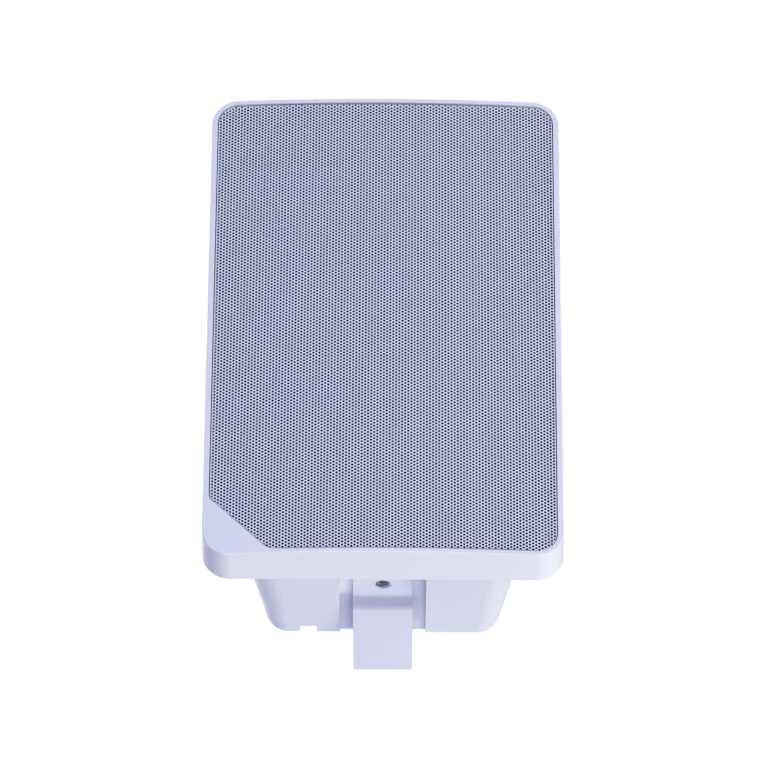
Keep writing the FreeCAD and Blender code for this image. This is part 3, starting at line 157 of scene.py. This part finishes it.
floor_mesh = bpy.data.meshes.new("floor")
floor_corners = [(-FLOOR_HALF, -FLOOR_HALF), (FLOOR_HALF, -FLOOR_HALF), (FLOOR_HALF, FLOOR_HALF),
                 (-FLOOR_HALF, FLOOR_HALF)]
floor_mesh.from_pydata([(x, y, -FLOOR_DROP) for x, y in floor_corners], [], [(0, 1, 2, 3)])
floor = bpy.data.objects.new("floor", floor_mesh)
bpy.context.collection.objects.link(floor)
floor_paint = bpy.data.materials.new("pale floor paint")
floor_paint.use_nodes = True
floor_shader = floor_paint.node_tree.nodes["Principled BSDF"]
floor_shader.inputs["Base Color"].default_value = linear("F3F3F6")
floor_shader.inputs["Roughness"].default_value = 0.8
floor_shader.inputs["Emission Color"].default_value = linear("FFFFFF")
glow = add_node(floor_paint.node_tree, "ShaderNodeMath", {"operation": "MULTIPLY"},
                _0=seen_by_eye(floor_paint.node_tree).outputs[0], _1=FLOOR_GLOW)
floor_paint.node_tree.links.new(glow.outputs[0], floor_shader.inputs["Emission Strength"])
floor_mesh.materials.append(floor_paint)
print("floor", FLOOR_DROP, "m below the speaker's middle")

# %% [markdown]
# ## Lamps
# The photo's brightest faces look down and to the right, its front is a step darker, and the steps behind the
# frame that look forward are darkest and bluest. One big lamp can't do that, so a small warm key stands low
# on the right, a broad lamp under the wall plays the bright floor, and the front has a lamp at its own
# height, which the frame keeps off the strap behind it. Two fills light the top and the back, which the
# photo doesn't show.

# %% Soft lamps
def soft_lamp(name, towards, distance, size, share, colour):
    """A square lamp; share is the part of full white that a white face turned to it sends back."""
    lamp = bpy.data.lights.new(name, "AREA")
    lamp.shape = "SQUARE"
    lamp.size = size
    lamp.energy = share * math.pi ** 2 * distance ** 2
    lamp.color = linear(colour)[:3]
    holder = bpy.data.objects.new(name, lamp)
    direction = Vector(towards).normalized()
    holder.location = FRONT_CENTRE + direction * distance
    holder.rotation_euler = direction.to_track_quat("Z", "Y").to_euler()
    holder.visible_camera = False
    bpy.context.collection.objects.link(holder)


soft_lamp("low right key", (0.84, 0.0, -0.54), 2.2, 0.9, 0.475, "FFFACC")
soft_lamp("floor under the wall", (0.15, 0.40, -0.90), 1.9, 1.6, 0.40, "FFFFFA")
soft_lamp("front window", (0.0, -1.0, -0.02), 2.6, 1.2, 0.57, "FFFFFF")
soft_lamp("floor in front", (0.38, -0.80, -0.46), 2.6, 1.2, 0.15, "FFFFD8")
soft_lamp("top fill", (-0.25, 0.50, 0.83), 2.6, 1.6, 0.70, "FFF8E0")
soft_lamp("back fill", (-0.45, 0.80, 0.40), 2.6, 1.6, 0.45, "FFFAF0")
print("lamps", [light.name for light in bpy.data.lights])

# %% [markdown]
# ## Finishes
# Moulded ABS takes the fine spark-eroded grain of its mould, and a powder coat flows out of its grains with
# a shallow orange peel. Both are a noise of one real size that bends the light and shifts the colour
# a little. One function makes such a grained finish from its real size, and the special ones add to it.

# %% A grained finish
def bare_finish(name, roughness, metallic, ior, shine):
    """A finish with its gloss set and no pattern yet; a shine of 0.5 is full shine."""
    material = bpy.data.materials.new(name)
    material.use_nodes = True
    shader = material.node_tree.nodes["Principled BSDF"]
    shader.inputs["Roughness"].default_value = roughness
    shader.inputs["Metallic"].default_value = metallic
    if not metallic:
        shader.inputs["IOR"].default_value = ior
        shader.inputs["Specular IOR Level"].default_value = shine
    return material


def show_pattern(material, height, dark, light, bump_mm):
    """Let the height of a pattern choose between two colours and raise the surface."""
    tree = material.node_tree
    shader = tree.nodes["Principled BSDF"]
    shade = add_node(tree, "ShaderNodeMix", {"data_type": "RGBA"}, _0=height,
                     _6=linear(dark), _7=linear(light))
    bump = add_node(tree, "ShaderNodeBump", Height=height, Strength=1.0, Distance=bump_mm * MM)
    tree.links.new(shade.outputs[2], shader.inputs["Base Color"])
    tree.links.new(bump.outputs[0], shader.inputs["Normal"])


def grained(name, dark, light, grain_mm, bump_mm, roughness, metallic=0.0, ior=1.5, shine=0.5):
    """A finish with a grain of one size, which shifts its colour and raises its surface."""
    material = bare_finish(name, roughness, metallic, ior, shine)
    tree = material.node_tree
    where = add_node(tree, "ShaderNodeTexCoord")
    grain = add_node(tree, "ShaderNodeTexNoise", Vector=where.outputs["Object"], Scale=1 / (grain_mm * MM),
                     Detail=3.0, Roughness=0.6)
    show_pattern(material, grain.outputs["Fac"], dark, light, bump_mm)
    return material


# A fine grain breaks up the mirror of the surface, so little of the full shine is left
MATT = 0.15
# Moulded ABS: satin, with the grain of a spark-eroded mould, drawn a little coarser than its 0.3 mm
abs_white = grained("moulded white ABS", "E0E1F5", "E4E5F8", 0.7, 0.006, 0.55, ior=1.54, shine=MATT)
# The cabinet behind it is the same plastic with painted shade: its colour is a step darker and bluer than the
# frame's
abs_shell_painted_shade = grained("moulded white ABS with painted shade", "D7D9EF", "DBDDF3", 0.7, 0.006, 0.55, ior=1.54, shine=MATT)
# Polyester powder coat on steel: smoother, with a shallow orange peel
coat_grille = grained("white powder coat on perforated steel", "E5E8FB", "E9ECFF", 1.4, 0.006, 0.50,
                      shine=MATT)
coat_strap = grained("white powder coat on strap steel", "D6D8F1", "DADCF5", 1.4, 0.008, 0.50, shine=MATT)
# Bright zinc plate: a clear grey metal with soft highlights, faintly mottled
zinc = grained("bright zinc plate on steel", "8E9298", "B4B8BE", 0.5, 0.004, 0.34, metallic=1.0)
# Passivated zinc in the pivots: a dull bluish film hides most of the mirror, so it is only partly metal
blue_zinc = grained("blue-passivated zinc on steel", "98A3C2", "B6C0DC", 0.5, 0.004, 0.50, metallic=0.4)
# Stoving paint: black with a little gloss and a fine orange peel
black_paint = grained("black stoving paint on pressed steel", "0C0C0E", "15151A", 0.9, 0.010, 0.40)
# Rolled sheet: a duller and darker metal than zinc
bare_steel = grained("dull rolled steel", "6B6D70", "85878A", 0.8, 0.006, 0.46, metallic=1.0)
# Paper pulp: matt, with the felted lumps of its fibres
pulp = grained("coated black paper pulp", "17171A", "26262A", 0.9, 0.060, 0.78)
# Butyl rubber: black, smooth and nearly matt
rubber = grained("butyl rubber", "101012", "18181B", 0.6, 0.010, 0.62)
# Foam: quite matt, pitted by its cut cells
foam = grained("closed-cell foam", "161618", "2A2A2E", 0.5, 0.080, 0.90)
# Ferrite: a dark grey ceramic, dull from grinding
ferrite = grained("ground ferrite", "232427", "303236", 0.7, 0.012, 0.60)
# Moulded PBT: black with the low gloss of an etched mould
black_plastic = grained("moulded black PBT", "101114", "191A1E", 0.5, 0.010, 0.46, ior=1.55)
print("grained finishes", len(bpy.data.materials))

# %% [markdown]
# ## Woven and wound finishes
# Cloth, wire and sheet stacks are rows of like things, so their pattern is a wave across the rows and its
# spacing is the real one: thread to thread, wire to wire or sheet to sheet.

# %% A rowed finish
# Rows per metre of Blender's wave texture at a scale of one
ROWS_AT_ONE = 10 / math.pi


def rowed(name, dark, light, spacing_mm, directions, bump_mm, roughness, metallic=0.0, ior=1.5, shine=0.5):
    """A finish of rows at one spacing along each given axis: wire, threads or stacked sheets."""
    material = bare_finish(name, roughness, metallic, ior, shine)
    tree = material.node_tree
    where = add_node(tree, "ShaderNodeTexCoord")
    height = None
    for axis in directions:
        rows = add_node(tree, "ShaderNodeTexWave", {"wave_type": "BANDS", "bands_direction": axis},
                        Vector=where.outputs["Object"], Scale=1 / (ROWS_AT_ONE * spacing_mm * MM),
                        Distortion=0.0)
        if height is None:
            height = rows.outputs["Fac"]
        else:
            height = add_node(tree, "ShaderNodeMath", {"operation": "MAXIMUM"},
                              _0=height, _1=rows.outputs["Fac"]).outputs[0]
    show_pattern(material, height, dark, light, bump_mm)
    return material


# Polyester acoustic cloth: dull and dark, threads drawn at 0.8 mm so that they can show through the holes
cloth_black = rowed("black-blue acoustic cloth", "040838", "0A1260", 0.8, ("X", "Z"), 0.10, 0.92, shine=0.03)
# Coated silk: a black dome with a soft sheen, threads drawn at 0.5 mm so that they can show
silk = rowed("coated silk", "0C0C0F", "1A1A1F", 0.5, ("X", "Z"), 0.03, 0.55)
# Resin-stiffened cotton: golden brown and matt, with an open weave
cotton = rowed("resin-stiffened cotton", "9C7A38", "C9A55C", 0.6, ("X", "Z"), 0.10, 0.85)
# Enamelled wire: glossy copper in even turns
copper = rowed("enamelled copper wire", "8A3F1C", "C9743E", 0.6, ("Y",), 0.15, 0.30, metallic=1.0)
# Transformer core: the dull edges of stacked steel sheets
sheets = rowed("stacked transformer sheets", "55575B", "7A7C80", 0.5, ("Z",), 0.05, 0.50, metallic=1.0)
# Glass laminate: green lacquer over a faint weave
laminate = rowed("lacquered glass laminate", "123F22", "1B5A31", 1.2, ("X", "Z"), 0.01, 0.35)
print("finishes in all", len(bpy.data.materials))

# %% [markdown]
# ## Dressing the solids
# Solids whose shape is right stay as they are and only get their finish. They could be copied and detailed,
# but a moulding or a bent strap is already complete as a solid, so this is the shortest way.

# %% Finish of each solid
FINISHES = {
    "front_frame": abs_white, "shell_flange": abs_shell_painted_shade, "rear_shell": abs_shell_painted_shade, "rear_rim": abs_shell_painted_shade,
    "rear_panel": abs_shell_painted_shade, "wall_bracket": coat_strap, "seal_gasket": foam, "case_screws": zinc,
    "front_grille": coat_grille, "grille_cloth": cloth_black,
    "pivot_bush_bottom": zinc, "pivot_bush_top": zinc,
    "woofer_gasket": foam, "woofer_basket": black_paint, "woofer_top_plate": zinc, "woofer_magnet": ferrite,
    "woofer_yoke": zinc, "woofer_voice_coil": copper, "woofer_cone": pulp, "woofer_surround": rubber,
    "woofer_spider": cotton, "woofer_dust_cap": pulp, "woofer_screws": zinc,
    "tweeter_faceplate": black_plastic, "tweeter_dome": silk, "tweeter_magnet": ferrite,
    "tweeter_yoke": zinc, "tweeter_screws": zinc,
    "transformer_core": sheets, "transformer_winding": copper, "transformer_clamp": bare_steel,
    "transformer_screws": zinc,
    "crossover_board": laminate, "crossover_coil": copper, "crossover_capacitor": black_plastic,
    "crossover_screws": zinc, "terminal_block": black_plastic, "terminal_screws": zinc,
}
for node, finish in FINISHES.items():
    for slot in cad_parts[node].material_slots:
        slot.material = finish
print("solids with a finish", len(FINISHES), "of", len(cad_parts))

# %% [markdown]
# ## The grille's outline
# The grille is a shallow tray: a rounded rectangle with its lower left corner cut off, bent about an upright
# axis far behind the speaker. The outline is drawn once as a function of how far it is moved in, so that
# the face, the fold and the cloth behind it all follow the same curve. The face drawn here lies 0.4 mm
# deeper than the solid one, so that the frame hides the gap below it.

# %% Outline and crown
grille_low, grille_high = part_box("front_grille")
GRILLE_HALF = (grille_high.x / MM, grille_high.z / MM)
GRILLE_SINK = 0.4
GRILLE_FRONT, BAFFLE_Y = grille_low.y / MM + GRILLE_SINK, grille_high.y / MM
GRILLE_CORNER = 11.4
GRILLE_CUT = 33.0
CUT_ROUND = 6.0
FRAME_HALF_WIDTH, CROWN_RISE, GRILLE_SETBACK = 100.0, 4.5, 0.6
GRILLE_RADIUS = (FRAME_HALF_WIDTH ** 2 + CROWN_RISE ** 2) / (2 * CROWN_RISE) - GRILLE_SETBACK
CROWN_CENTRE_Y = GRILLE_FRONT + GRILLE_RADIUS
ARC_STEPS = 10


def grille_outline(inset):
    """Points round the grille, anticlockwise from the front, moved in by the inset; millimetres."""
    half_w, half_h = GRILLE_HALF[0] - inset, GRILLE_HALF[1] - inset
    cut = GRILLE_CUT - (2 - math.sqrt(2)) * inset
    round_corner, round_cut = GRILLE_CORNER - inset, CUT_ROUND - inset
    corners = [(-half_w + cut, -half_h, round_cut), (half_w, -half_h, round_corner),
               (half_w, half_h, round_corner), (-half_w, half_h, round_corner),
               (-half_w, -half_h + cut, round_cut)]
    points = []
    for index, (x, z, radius) in enumerate(corners):
        spot = Vector((x, z))
        before = (Vector(corners[index - 1][:2]) - spot).normalized()
        after = (Vector(corners[(index + 1) % len(corners)][:2]) - spot).normalized()
        half_angle = before.angle(after) / 2
        centre = spot + (before + after).normalized() * (radius / math.sin(half_angle))
        start = spot + before * (radius / math.tan(half_angle)) - centre
        sweep = math.pi - 2 * half_angle
        for step in range(ARC_STEPS + 1):
            turn = sweep * step / ARC_STEPS
            points.append((centre.x + start.x * math.cos(turn) - start.y * math.sin(turn),
                           centre.y + start.x * math.sin(turn) + start.y * math.cos(turn)))
    return np.array(points)


def crown(x, behind=0.0):
    """Depth of the crowned face at x, or of a surface that lies behind it; millimetres."""
    return CROWN_CENTRE_Y - np.sqrt((GRILLE_RADIUS - behind) ** 2 - np.asarray(x) ** 2)


crown_rise = float(crown(GRILLE_HALF[0]) - crown(0))
print("outline points", len(grille_outline(0)), "crown rises", round(crown_rise, 2), "mm")

# %% [markdown]
# ## The perforated face
# Speaker grilles are punched in a triangular pattern, here 1.5 mm holes at a 2 mm pitch. A texture could
# paint the holes, but real holes show their depth and the cloth behind them. Each hole owns a six-sided
# cell of sheet, so the face is a honeycomb of cells with a six-sided hole in each, of the same area as
# the round one. Cells on the border are clipped to the outline, as the press cuts through holes there.

# %% Cells of the pattern
PITCH = 2.0
HOLE_DIAMETER = 1.5
SHEET = 0.4
FOLD = 0.15
SIX = np.radians(np.arange(6) * 60)
CELL_RADIUS = PITCH / math.sqrt(3)
HOLE_RADIUS = HOLE_DIAMETER / 2 * math.sqrt(math.pi / (1.5 * math.sqrt(3)))


def edge_distance(points, outline):
    """How far each point lies inside the outline, least over its edges; negative outside."""
    edges = np.roll(outline, -1, axis=0) - outline
    normals = np.stack([-edges[:, 1], edges[:, 0]], axis=1) / np.linalg.norm(edges, axis=1)[:, None]
    return np.min(((points[..., None, :] - outline) * normals).sum(axis=-1), axis=-1)


column_step = PITCH * math.sqrt(3) / 2
columns = int(GRILLE_HALF[0] / column_step) + 1
rows = int(GRILLE_HALF[1] / PITCH) + 1
centres = np.array([(i * column_step, (j + 0.5 * (i % 2)) * PITCH)
                    for i in range(-columns, columns + 1) for j in range(-rows, rows + 1)])
face_edge = grille_outline(FOLD)
depth_in = edge_distance(centres, face_edge)
whole = centres[depth_in >= CELL_RADIUS]
border = centres[(depth_in > -CELL_RADIUS) & (depth_in < CELL_RADIUS)]
print("whole cells", len(whole), "border cells", len(border))

# %% [markdown]
# ## Cells on the border
# A boolean could trim the sheet, but on a hundred thousand faces it is slow and leaves slivers. The outline
# has no hollows, so each strip of sheet on the border can be cut along one edge of it after another.

# %% Clipping the border
def clip(polygon, outline):
    """The part of a polygon inside a convex outline, cut along one edge after another."""
    for start, end in zip(outline, np.roll(outline, -1, axis=0)):
        along = end - start
        kept = []
        for here, there in zip(polygon, polygon[1:] + polygon[:1]):
            side_here = along[0] * (here[1] - start[1]) - along[1] * (here[0] - start[0])
            side_there = along[0] * (there[1] - start[1]) - along[1] * (there[0] - start[0])
            if side_here >= 0:
                kept.append(here)
            if (side_here >= 0) != (side_there >= 0):
                share = side_here / (side_here - side_there)
                kept.append((here[0] + share * (there[0] - here[0]), here[1] + share * (there[1] - here[1])))
        polygon = kept
        if len(polygon) < 3:
            return []
    return polygon


def sheet_quads(centre):
    """The six strips of sheet between a cell's sides and the sides of its hole."""
    cell = [(centre[0] + CELL_RADIUS * math.cos(a), centre[1] + CELL_RADIUS * math.sin(a)) for a in SIX]
    hole = [(centre[0] + HOLE_RADIUS * math.cos(a), centre[1] + HOLE_RADIUS * math.sin(a)) for a in SIX]
    return [[cell[k], cell[(k + 1) % 6], hole[(k + 1) % 6], hole[k]] for k in range(6)]


flat_faces = [quad for centre in whole for quad in sheet_quads(centre)]
for centre in border:
    flat_faces += [piece for piece in (clip(quad, face_edge) for quad in sheet_quads(centre)) if piece]
print("faces in the perforated sheet", len(flat_faces))

# %% [markdown]
# ## The face as one mesh
# The strips are flat so far. Points that lie in the same place are joined, so that the sheet shades as one
# smooth surface, and each is then moved back onto the crown.

# %% The face as a mesh
def add_piece(name, vertices, faces, finish, body, smooth=True):
    """A mesh piece in metres, given in millimetres, that rides on a body."""
    mesh = bpy.data.meshes.new(name)
    mesh.from_pydata((np.asarray(vertices, dtype=float) * MM).tolist(), [], faces)
    mesh.materials.append(finish)
    mesh.polygons.foreach_set("use_smooth", [smooth] * len(mesh.polygons))
    mesh.update()
    piece = bpy.data.objects.new(name, mesh)
    bpy.context.collection.objects.link(piece)
    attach(piece, body)
    return piece


corner_points = np.array([point for face in flat_faces for point in face])
spots, index_of = np.unique(np.round(corner_points, 4), axis=0, return_inverse=True)
index_of = index_of.reshape(-1).tolist()
faces, first = [], 0
for face in flat_faces:
    ring = index_of[first:first + len(face)]
    first += len(face)
    ring = [v for k, v in enumerate(ring) if v != ring[k - 1]]
    if len(ring) > 2:
        faces.append(ring)
sheet_vertices = np.column_stack([spots[:, 0], crown(spots[:, 0]), spots[:, 1]])
grille_face = add_piece("perforated_face", sheet_vertices, faces, coat_grille, "cabinet")
print("perforated face", len(sheet_vertices), "points,", sum(len(f) - 2 for f in faces), "triangles")

# %% [markdown]
# ## Walls of the holes
# The sheet is 0.4 mm thick, a quarter of a hole's width, so from below a strip of each hole's own wall shows
# beside the dark cloth. A thickness modifier would make walls and a back that nobody sees, so only the walls
# are made. They are a second piece, to keep each piece within what an exported mesh may hold.

# %% Hole walls
hole_inside = centres[depth_in >= HOLE_RADIUS]
hole_ring = np.stack([HOLE_RADIUS * np.cos(SIX), HOLE_RADIUS * np.sin(SIX)], axis=1)
rims = (hole_inside[:, None, :] + hole_ring).reshape(-1, 2)
front_rim = np.column_stack([rims[:, 0], crown(rims[:, 0]), rims[:, 1]])
back_rim = np.column_stack([rims[:, 0], crown(rims[:, 0], SHEET), rims[:, 1]])
count = len(rims)
walls = [(6 * h + k, 6 * h + (k + 1) % 6, count + 6 * h + (k + 1) % 6, count + 6 * h + k)
         for h in range(len(hole_inside)) for k in range(6)]
hole_walls = add_piece("hole_walls", np.vstack([front_rim, back_rim]), walls, coat_grille, "cabinet")
print("holes", len(hole_inside), "wall triangles", 2 * len(walls))

# %% [markdown]
# ## The folded rim
# All round, the sheet is folded back to the baffle with a small radius. A bevel would have to follow the
# clipped cells, so the fold is a strip of its own between copies of the outline that move outwards and back
# along a quarter circle, then along the wall and round its cut edge.

# %% Folded rim
FOLD_STEPS = 5
profile = []
for step in range(FOLD_STEPS + 1):
    turn = math.pi / 2 * step / FOLD_STEPS
    profile.append((FOLD * (1 - math.sin(turn)), FOLD * (1 - math.cos(turn)), None))
profile += [(0.0, None, BAFFLE_Y), (SHEET, None, BAFFLE_Y), (SHEET, SHEET, None)]
rim_vertices = []
for inset, behind, depth in profile:
    for x, z in grille_outline(inset):
        rim_vertices.append((x, depth if behind is None else float(crown(x)) + behind, z))
around = len(grille_outline(0))
rim_faces = [(r * around + k, r * around + (k + 1) % around,
              (r + 1) * around + (k + 1) % around, (r + 1) * around + k)
             for r in range(len(profile) - 1) for k in range(around)]
grille_rim = add_piece("grille_rim", rim_vertices, rim_faces, coat_grille, "cabinet")
for piece in (grille_face, hole_walls, grille_rim):
    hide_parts("front_grille")
print("rim faces", len(rim_faces))

# %% [markdown]
# ## Acoustic cloth
# A dark cloth is stretched behind the holes. It keeps dust out and hides the drivers, and it is why the holes
# look a deep blue-black. It is stretched tight, so it needs no simulation: it is one sheet that follows the
# crown, cut to the tray's outline.

# %% Stretched cloth
CLOTH_INSET = 0.9
CLOTH_BEHIND = 0.8
CLOTH_COLUMNS = 48
CLOTH_ROWS = 72
TOUCHING, UPRIGHT = 1e-6, 1e-9
edge = grille_outline(CLOTH_INSET)
sides = np.linspace(edge[:, 0].min(), edge[:, 0].max(), CLOTH_COLUMNS + 1)


def span_at(x):
    """Lowest and highest point of the cloth's outline at x."""
    heights = []
    for (x0, z0), (x1, z1) in zip(edge, np.roll(edge, -1, axis=0)):
        if min(x0, x1) - TOUCHING <= x <= max(x0, x1) + TOUCHING:
            heights += [z0, z1] if abs(x1 - x0) < UPRIGHT else [z0 + (z1 - z0) * (x - x0) / (x1 - x0)]
    return min(heights), max(heights)


cloth_vertices = []
for x in sides:
    low, high = span_at(x)
    cloth_vertices += [(x, float(crown(x, CLOTH_BEHIND)), z) for z in np.linspace(low, high, CLOTH_ROWS + 1)]
stride = CLOTH_ROWS + 1
cloth_faces = [(i * stride + j, (i + 1) * stride + j, (i + 1) * stride + j + 1, i * stride + j + 1)
               for i in range(CLOTH_COLUMNS) for j in range(CLOTH_ROWS)]
cloth = add_piece("acoustic_cloth", cloth_vertices, cloth_faces, cloth_black, "cabinet")
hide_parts("grille_cloth")

# %% [markdown]
# ## Threaded bushes
# The open hole at each pivot shows the turns of its thread, and the end of the bush is painted over with the
# strap, so that only the hole shows. A screw modifier could turn the thread, but the mouth cuts it off, so it
# is worked out here: a band with two rows at the crest and two at the root climbs one pitch each turn, and
# the end of one turn is the start of the next.

# %% Pivot bushes with their thread
bush_low, bush_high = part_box("pivot_bush_top")
PIVOT_Y = (bush_low.y + bush_high.y) / 2 / MM
BUSH_FROM, BUSH_TO = bush_low.z / MM, bush_high.z / MM
FLANGE_RADIUS, FLANGE_THICKNESS, BUSH_RADIUS, BUSH_BEVEL = 8.0, 1.5, 5.0, 0.2
THREAD_PITCH = 1.25
THREAD_CREST, THREAD_ROOT = 3.4, 4.0
# Share of the pitch and radius at each row of the thread
THREAD_SHAPE = [(0.0, THREAD_CREST), (0.2, THREAD_CREST), (0.55, THREAD_ROOT), (0.65, THREAD_ROOT),
                (1.0, THREAD_CREST)]
MOUTH_RADIUS, MOUTH_DEPTH = 4.2, 0.8
BUSH_SEGMENTS = 48
BUSH_OUTSIDE = [
    (THREAD_CREST, BUSH_FROM), (FLANGE_RADIUS, BUSH_FROM), (FLANGE_RADIUS, BUSH_FROM + FLANGE_THICKNESS),
    (BUSH_RADIUS, BUSH_FROM + FLANGE_THICKNESS), (BUSH_RADIUS, BUSH_TO - BUSH_BEVEL)]
BUSH_END = [(BUSH_RADIUS, BUSH_TO - BUSH_BEVEL), (BUSH_RADIUS - BUSH_BEVEL, BUSH_TO), (MOUTH_RADIUS, BUSH_TO)]
BUSH_MOUTH = [(MOUTH_RADIUS, BUSH_TO), (THREAD_ROOT, BUSH_TO - MOUTH_DEPTH)]


def ring_points(radius, z, end):
    """A ring of points about the pivot's axis."""
    turns = np.arange(BUSH_SEGMENTS) * 2 * math.pi / BUSH_SEGMENTS
    return [(radius * math.cos(t), PIVOT_Y + radius * math.sin(t), end * z) for t in turns]


def turned_band(rings, end, first):
    """Points and faces of a band through rings about the pivot's axis, numbered from a first point."""
    vertices, faces = [], []
    for radius, z in rings:
        vertices += ring_points(radius, z, end)
    for r in range(len(rings) - 1):
        for k in range(BUSH_SEGMENTS):
            a, b = first + r * BUSH_SEGMENTS + k, first + r * BUSH_SEGMENTS + (k + 1) % BUSH_SEGMENTS
            faces.append((a, b, b + BUSH_SEGMENTS, a + BUSH_SEGMENTS))
    return vertices, faces


def threaded_bush(name, node, end):
    """A turned bush about the pivot's axis whose bore carries a helical thread; its end is painted."""
    vertices, faces = turned_band(BUSH_OUTSIDE, end, 0)
    mouth_vertices, mouth_faces = turned_band(BUSH_MOUTH, end, len(vertices))
    vertices += mouth_vertices
    faces += mouth_faces
    start = len(vertices)
    turns = int((BUSH_TO - BUSH_FROM) / THREAD_PITCH) + 1
    steps = turns * BUSH_SEGMENTS
    for step in range(steps + 1):
        turn = 2 * math.pi * step / BUSH_SEGMENTS
        for rise, radius in THREAD_SHAPE:
            z = BUSH_FROM + THREAD_PITCH * (step / BUSH_SEGMENTS - 1 + rise)
            z = min(max(z, BUSH_FROM), BUSH_TO - MOUTH_DEPTH)
            vertices.append((radius * math.cos(turn), PIVOT_Y + radius * math.sin(turn), end * z))
    wide = len(THREAD_SHAPE)
    for step in range(steps):
        for k in range(wide - 1):
            a, b = start + step * wide + k, start + (step + 1) * wide + k
            faces.append((a, b, b + 1, a + 1))
    bush = add_piece(name, vertices, faces, blue_zinc, "cabinet", smooth=False)
    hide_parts(node)
    painted = add_piece(name + "_end", *turned_band(BUSH_END, end, 0), coat_strap, "cabinet", smooth=False)
    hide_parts(node)
    return bush


for side, end in (("bottom", -1), ("top", 1)):
    bush = threaded_bush("threaded_bush_" + side, "pivot_bush_" + side, end)
    print(bush.name, len(bush.data.polygons), "faces")

# %% [markdown]
# ## Screws
# Eight pan head screws hold the shell to the frame, and four sit in the terminal block. Booleans could cut
# their recesses, but a clean mesh is as easy: a head is a turned profile whose flat top is filled round
# a cut-out, and the cut-out's walls go down to a smaller copy of itself.

# %% Screws with their recesses
HEAD_SEGMENTS = 32
SHANK_RADIUS = 1.8
RECESS_TAPER = 0.6


def cross(reach, half):
    """Corners of a cross recess, anticlockwise."""
    arm = [(reach, -half), (reach, half), (half, half)]
    points = []
    for turn in range(4):
        points += arm
        arm = [(-z, x) for x, z in arm]
    return points


def slot_cut(reach, half):
    """Corners of a straight slot."""
    return [(-reach, -half), (reach, -half), (reach, half), (-reach, half)]


def screw_set(name, node, places, seat_y, shank_length, head, recess, depth):
    """Screws along Y whose heads face the wall; head is a list of radius and height."""
    bm = bmesh.new()
    for x, z in places:
        rings = []
        for radius, rise in [(SHANK_RADIUS, -shank_length), (SHANK_RADIUS, 0.0)] + head:
            rings.append([bm.verts.new((x + radius * math.cos(t), seat_y + rise, z + radius * math.sin(t)))
                          for t in np.arange(HEAD_SEGMENTS) * 2 * math.pi / HEAD_SEGMENTS])
        for lower, upper in zip(rings, rings[1:]):
            for k in range(HEAD_SEGMENTS):
                n = (k + 1) % HEAD_SEGMENTS
                bm.faces.new((lower[k], lower[n], upper[n], upper[k]))
        bm.faces.new(rings[0])
        top = seat_y + head[-1][1]
        mouth = [bm.verts.new((x + u, top, z + v)) for u, v in recess]
        bottom = [bm.verts.new((x + RECESS_TAPER * u, top - depth, z + RECESS_TAPER * v)) for u, v in recess]
        brim = rings[-1]
        flat_top = [bm.edges.get((brim[k], brim[(k + 1) % HEAD_SEGMENTS])) for k in range(HEAD_SEGMENTS)]
        flat_top += [bm.edges.new((mouth[k], mouth[(k + 1) % len(mouth)])) for k in range(len(mouth))]
        bmesh.ops.triangle_fill(bm, edges=flat_top, use_beauty=True)
        for k in range(len(mouth)):
            n = (k + 1) % len(mouth)
            bm.faces.new((mouth[k], mouth[n], bottom[n], bottom[k]))
        bm.faces.new(bottom)
    bmesh.ops.recalc_face_normals(bm, faces=bm.faces)
    bm.verts.index_update()
    vertices = [tuple(v.co) for v in bm.verts]
    faces = [[v.index for v in face.verts] for face in bm.faces]
    bm.free()
    piece = add_piece(name, vertices, faces, zinc, "cabinet", smooth=False)
    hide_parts(node)
    return piece


PAN_HEAD = [(3.6, 0.0), (3.6, 0.8), (3.45, 1.4), (3.05, 1.95), (2.4, 2.4)]
CROSS_REACH, CROSS_HALF, CROSS_DEPTH = 1.9, 0.45, 1.3
case_low, case_high = (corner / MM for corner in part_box("case_screws"))
case_x, case_z = case_high.x - PAN_HEAD[0][0], case_high.z - PAN_HEAD[0][0]
case_places = [(sx * case_x, sz * z) for sx in (-1, 1) for sz in (-1, 1) for z in (case_z, case_z / 3)]
case_seat = case_high.y - PAN_HEAD[-1][1]
case_screws = screw_set("case_screws_cross", "case_screws", case_places, case_seat, case_seat - case_low.y,
                        PAN_HEAD, cross(CROSS_REACH, CROSS_HALF), CROSS_DEPTH)

CHEESE_HEAD = [(2.8, 0.0), (2.8, 1.7), (2.55, 2.0)]
SLOT_REACH, SLOT_HALF, SLOT_DEPTH = 2.2, 0.35, 1.0
TERMINALS = 4
well_low, well_high = (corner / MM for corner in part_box("terminal_screws"))
wells = np.linspace(well_low.x + CHEESE_HEAD[0][0], well_high.x - CHEESE_HEAD[0][0], TERMINALS)
terminal_places = [(float(x), (well_low.z + well_high.z) / 2) for x in wells]
terminal_seat = well_high.y - CHEESE_HEAD[-1][1]
terminal_screws = screw_set("terminal_screws_slotted", "terminal_screws", terminal_places, terminal_seat,
                            terminal_seat - well_low.y, CHEESE_HEAD, slot_cut(SLOT_REACH, SLOT_HALF),
                            SLOT_DEPTH)
for screws in (case_screws, terminal_screws):
    print(screws.name, len(screws.data.polygons), "faces")
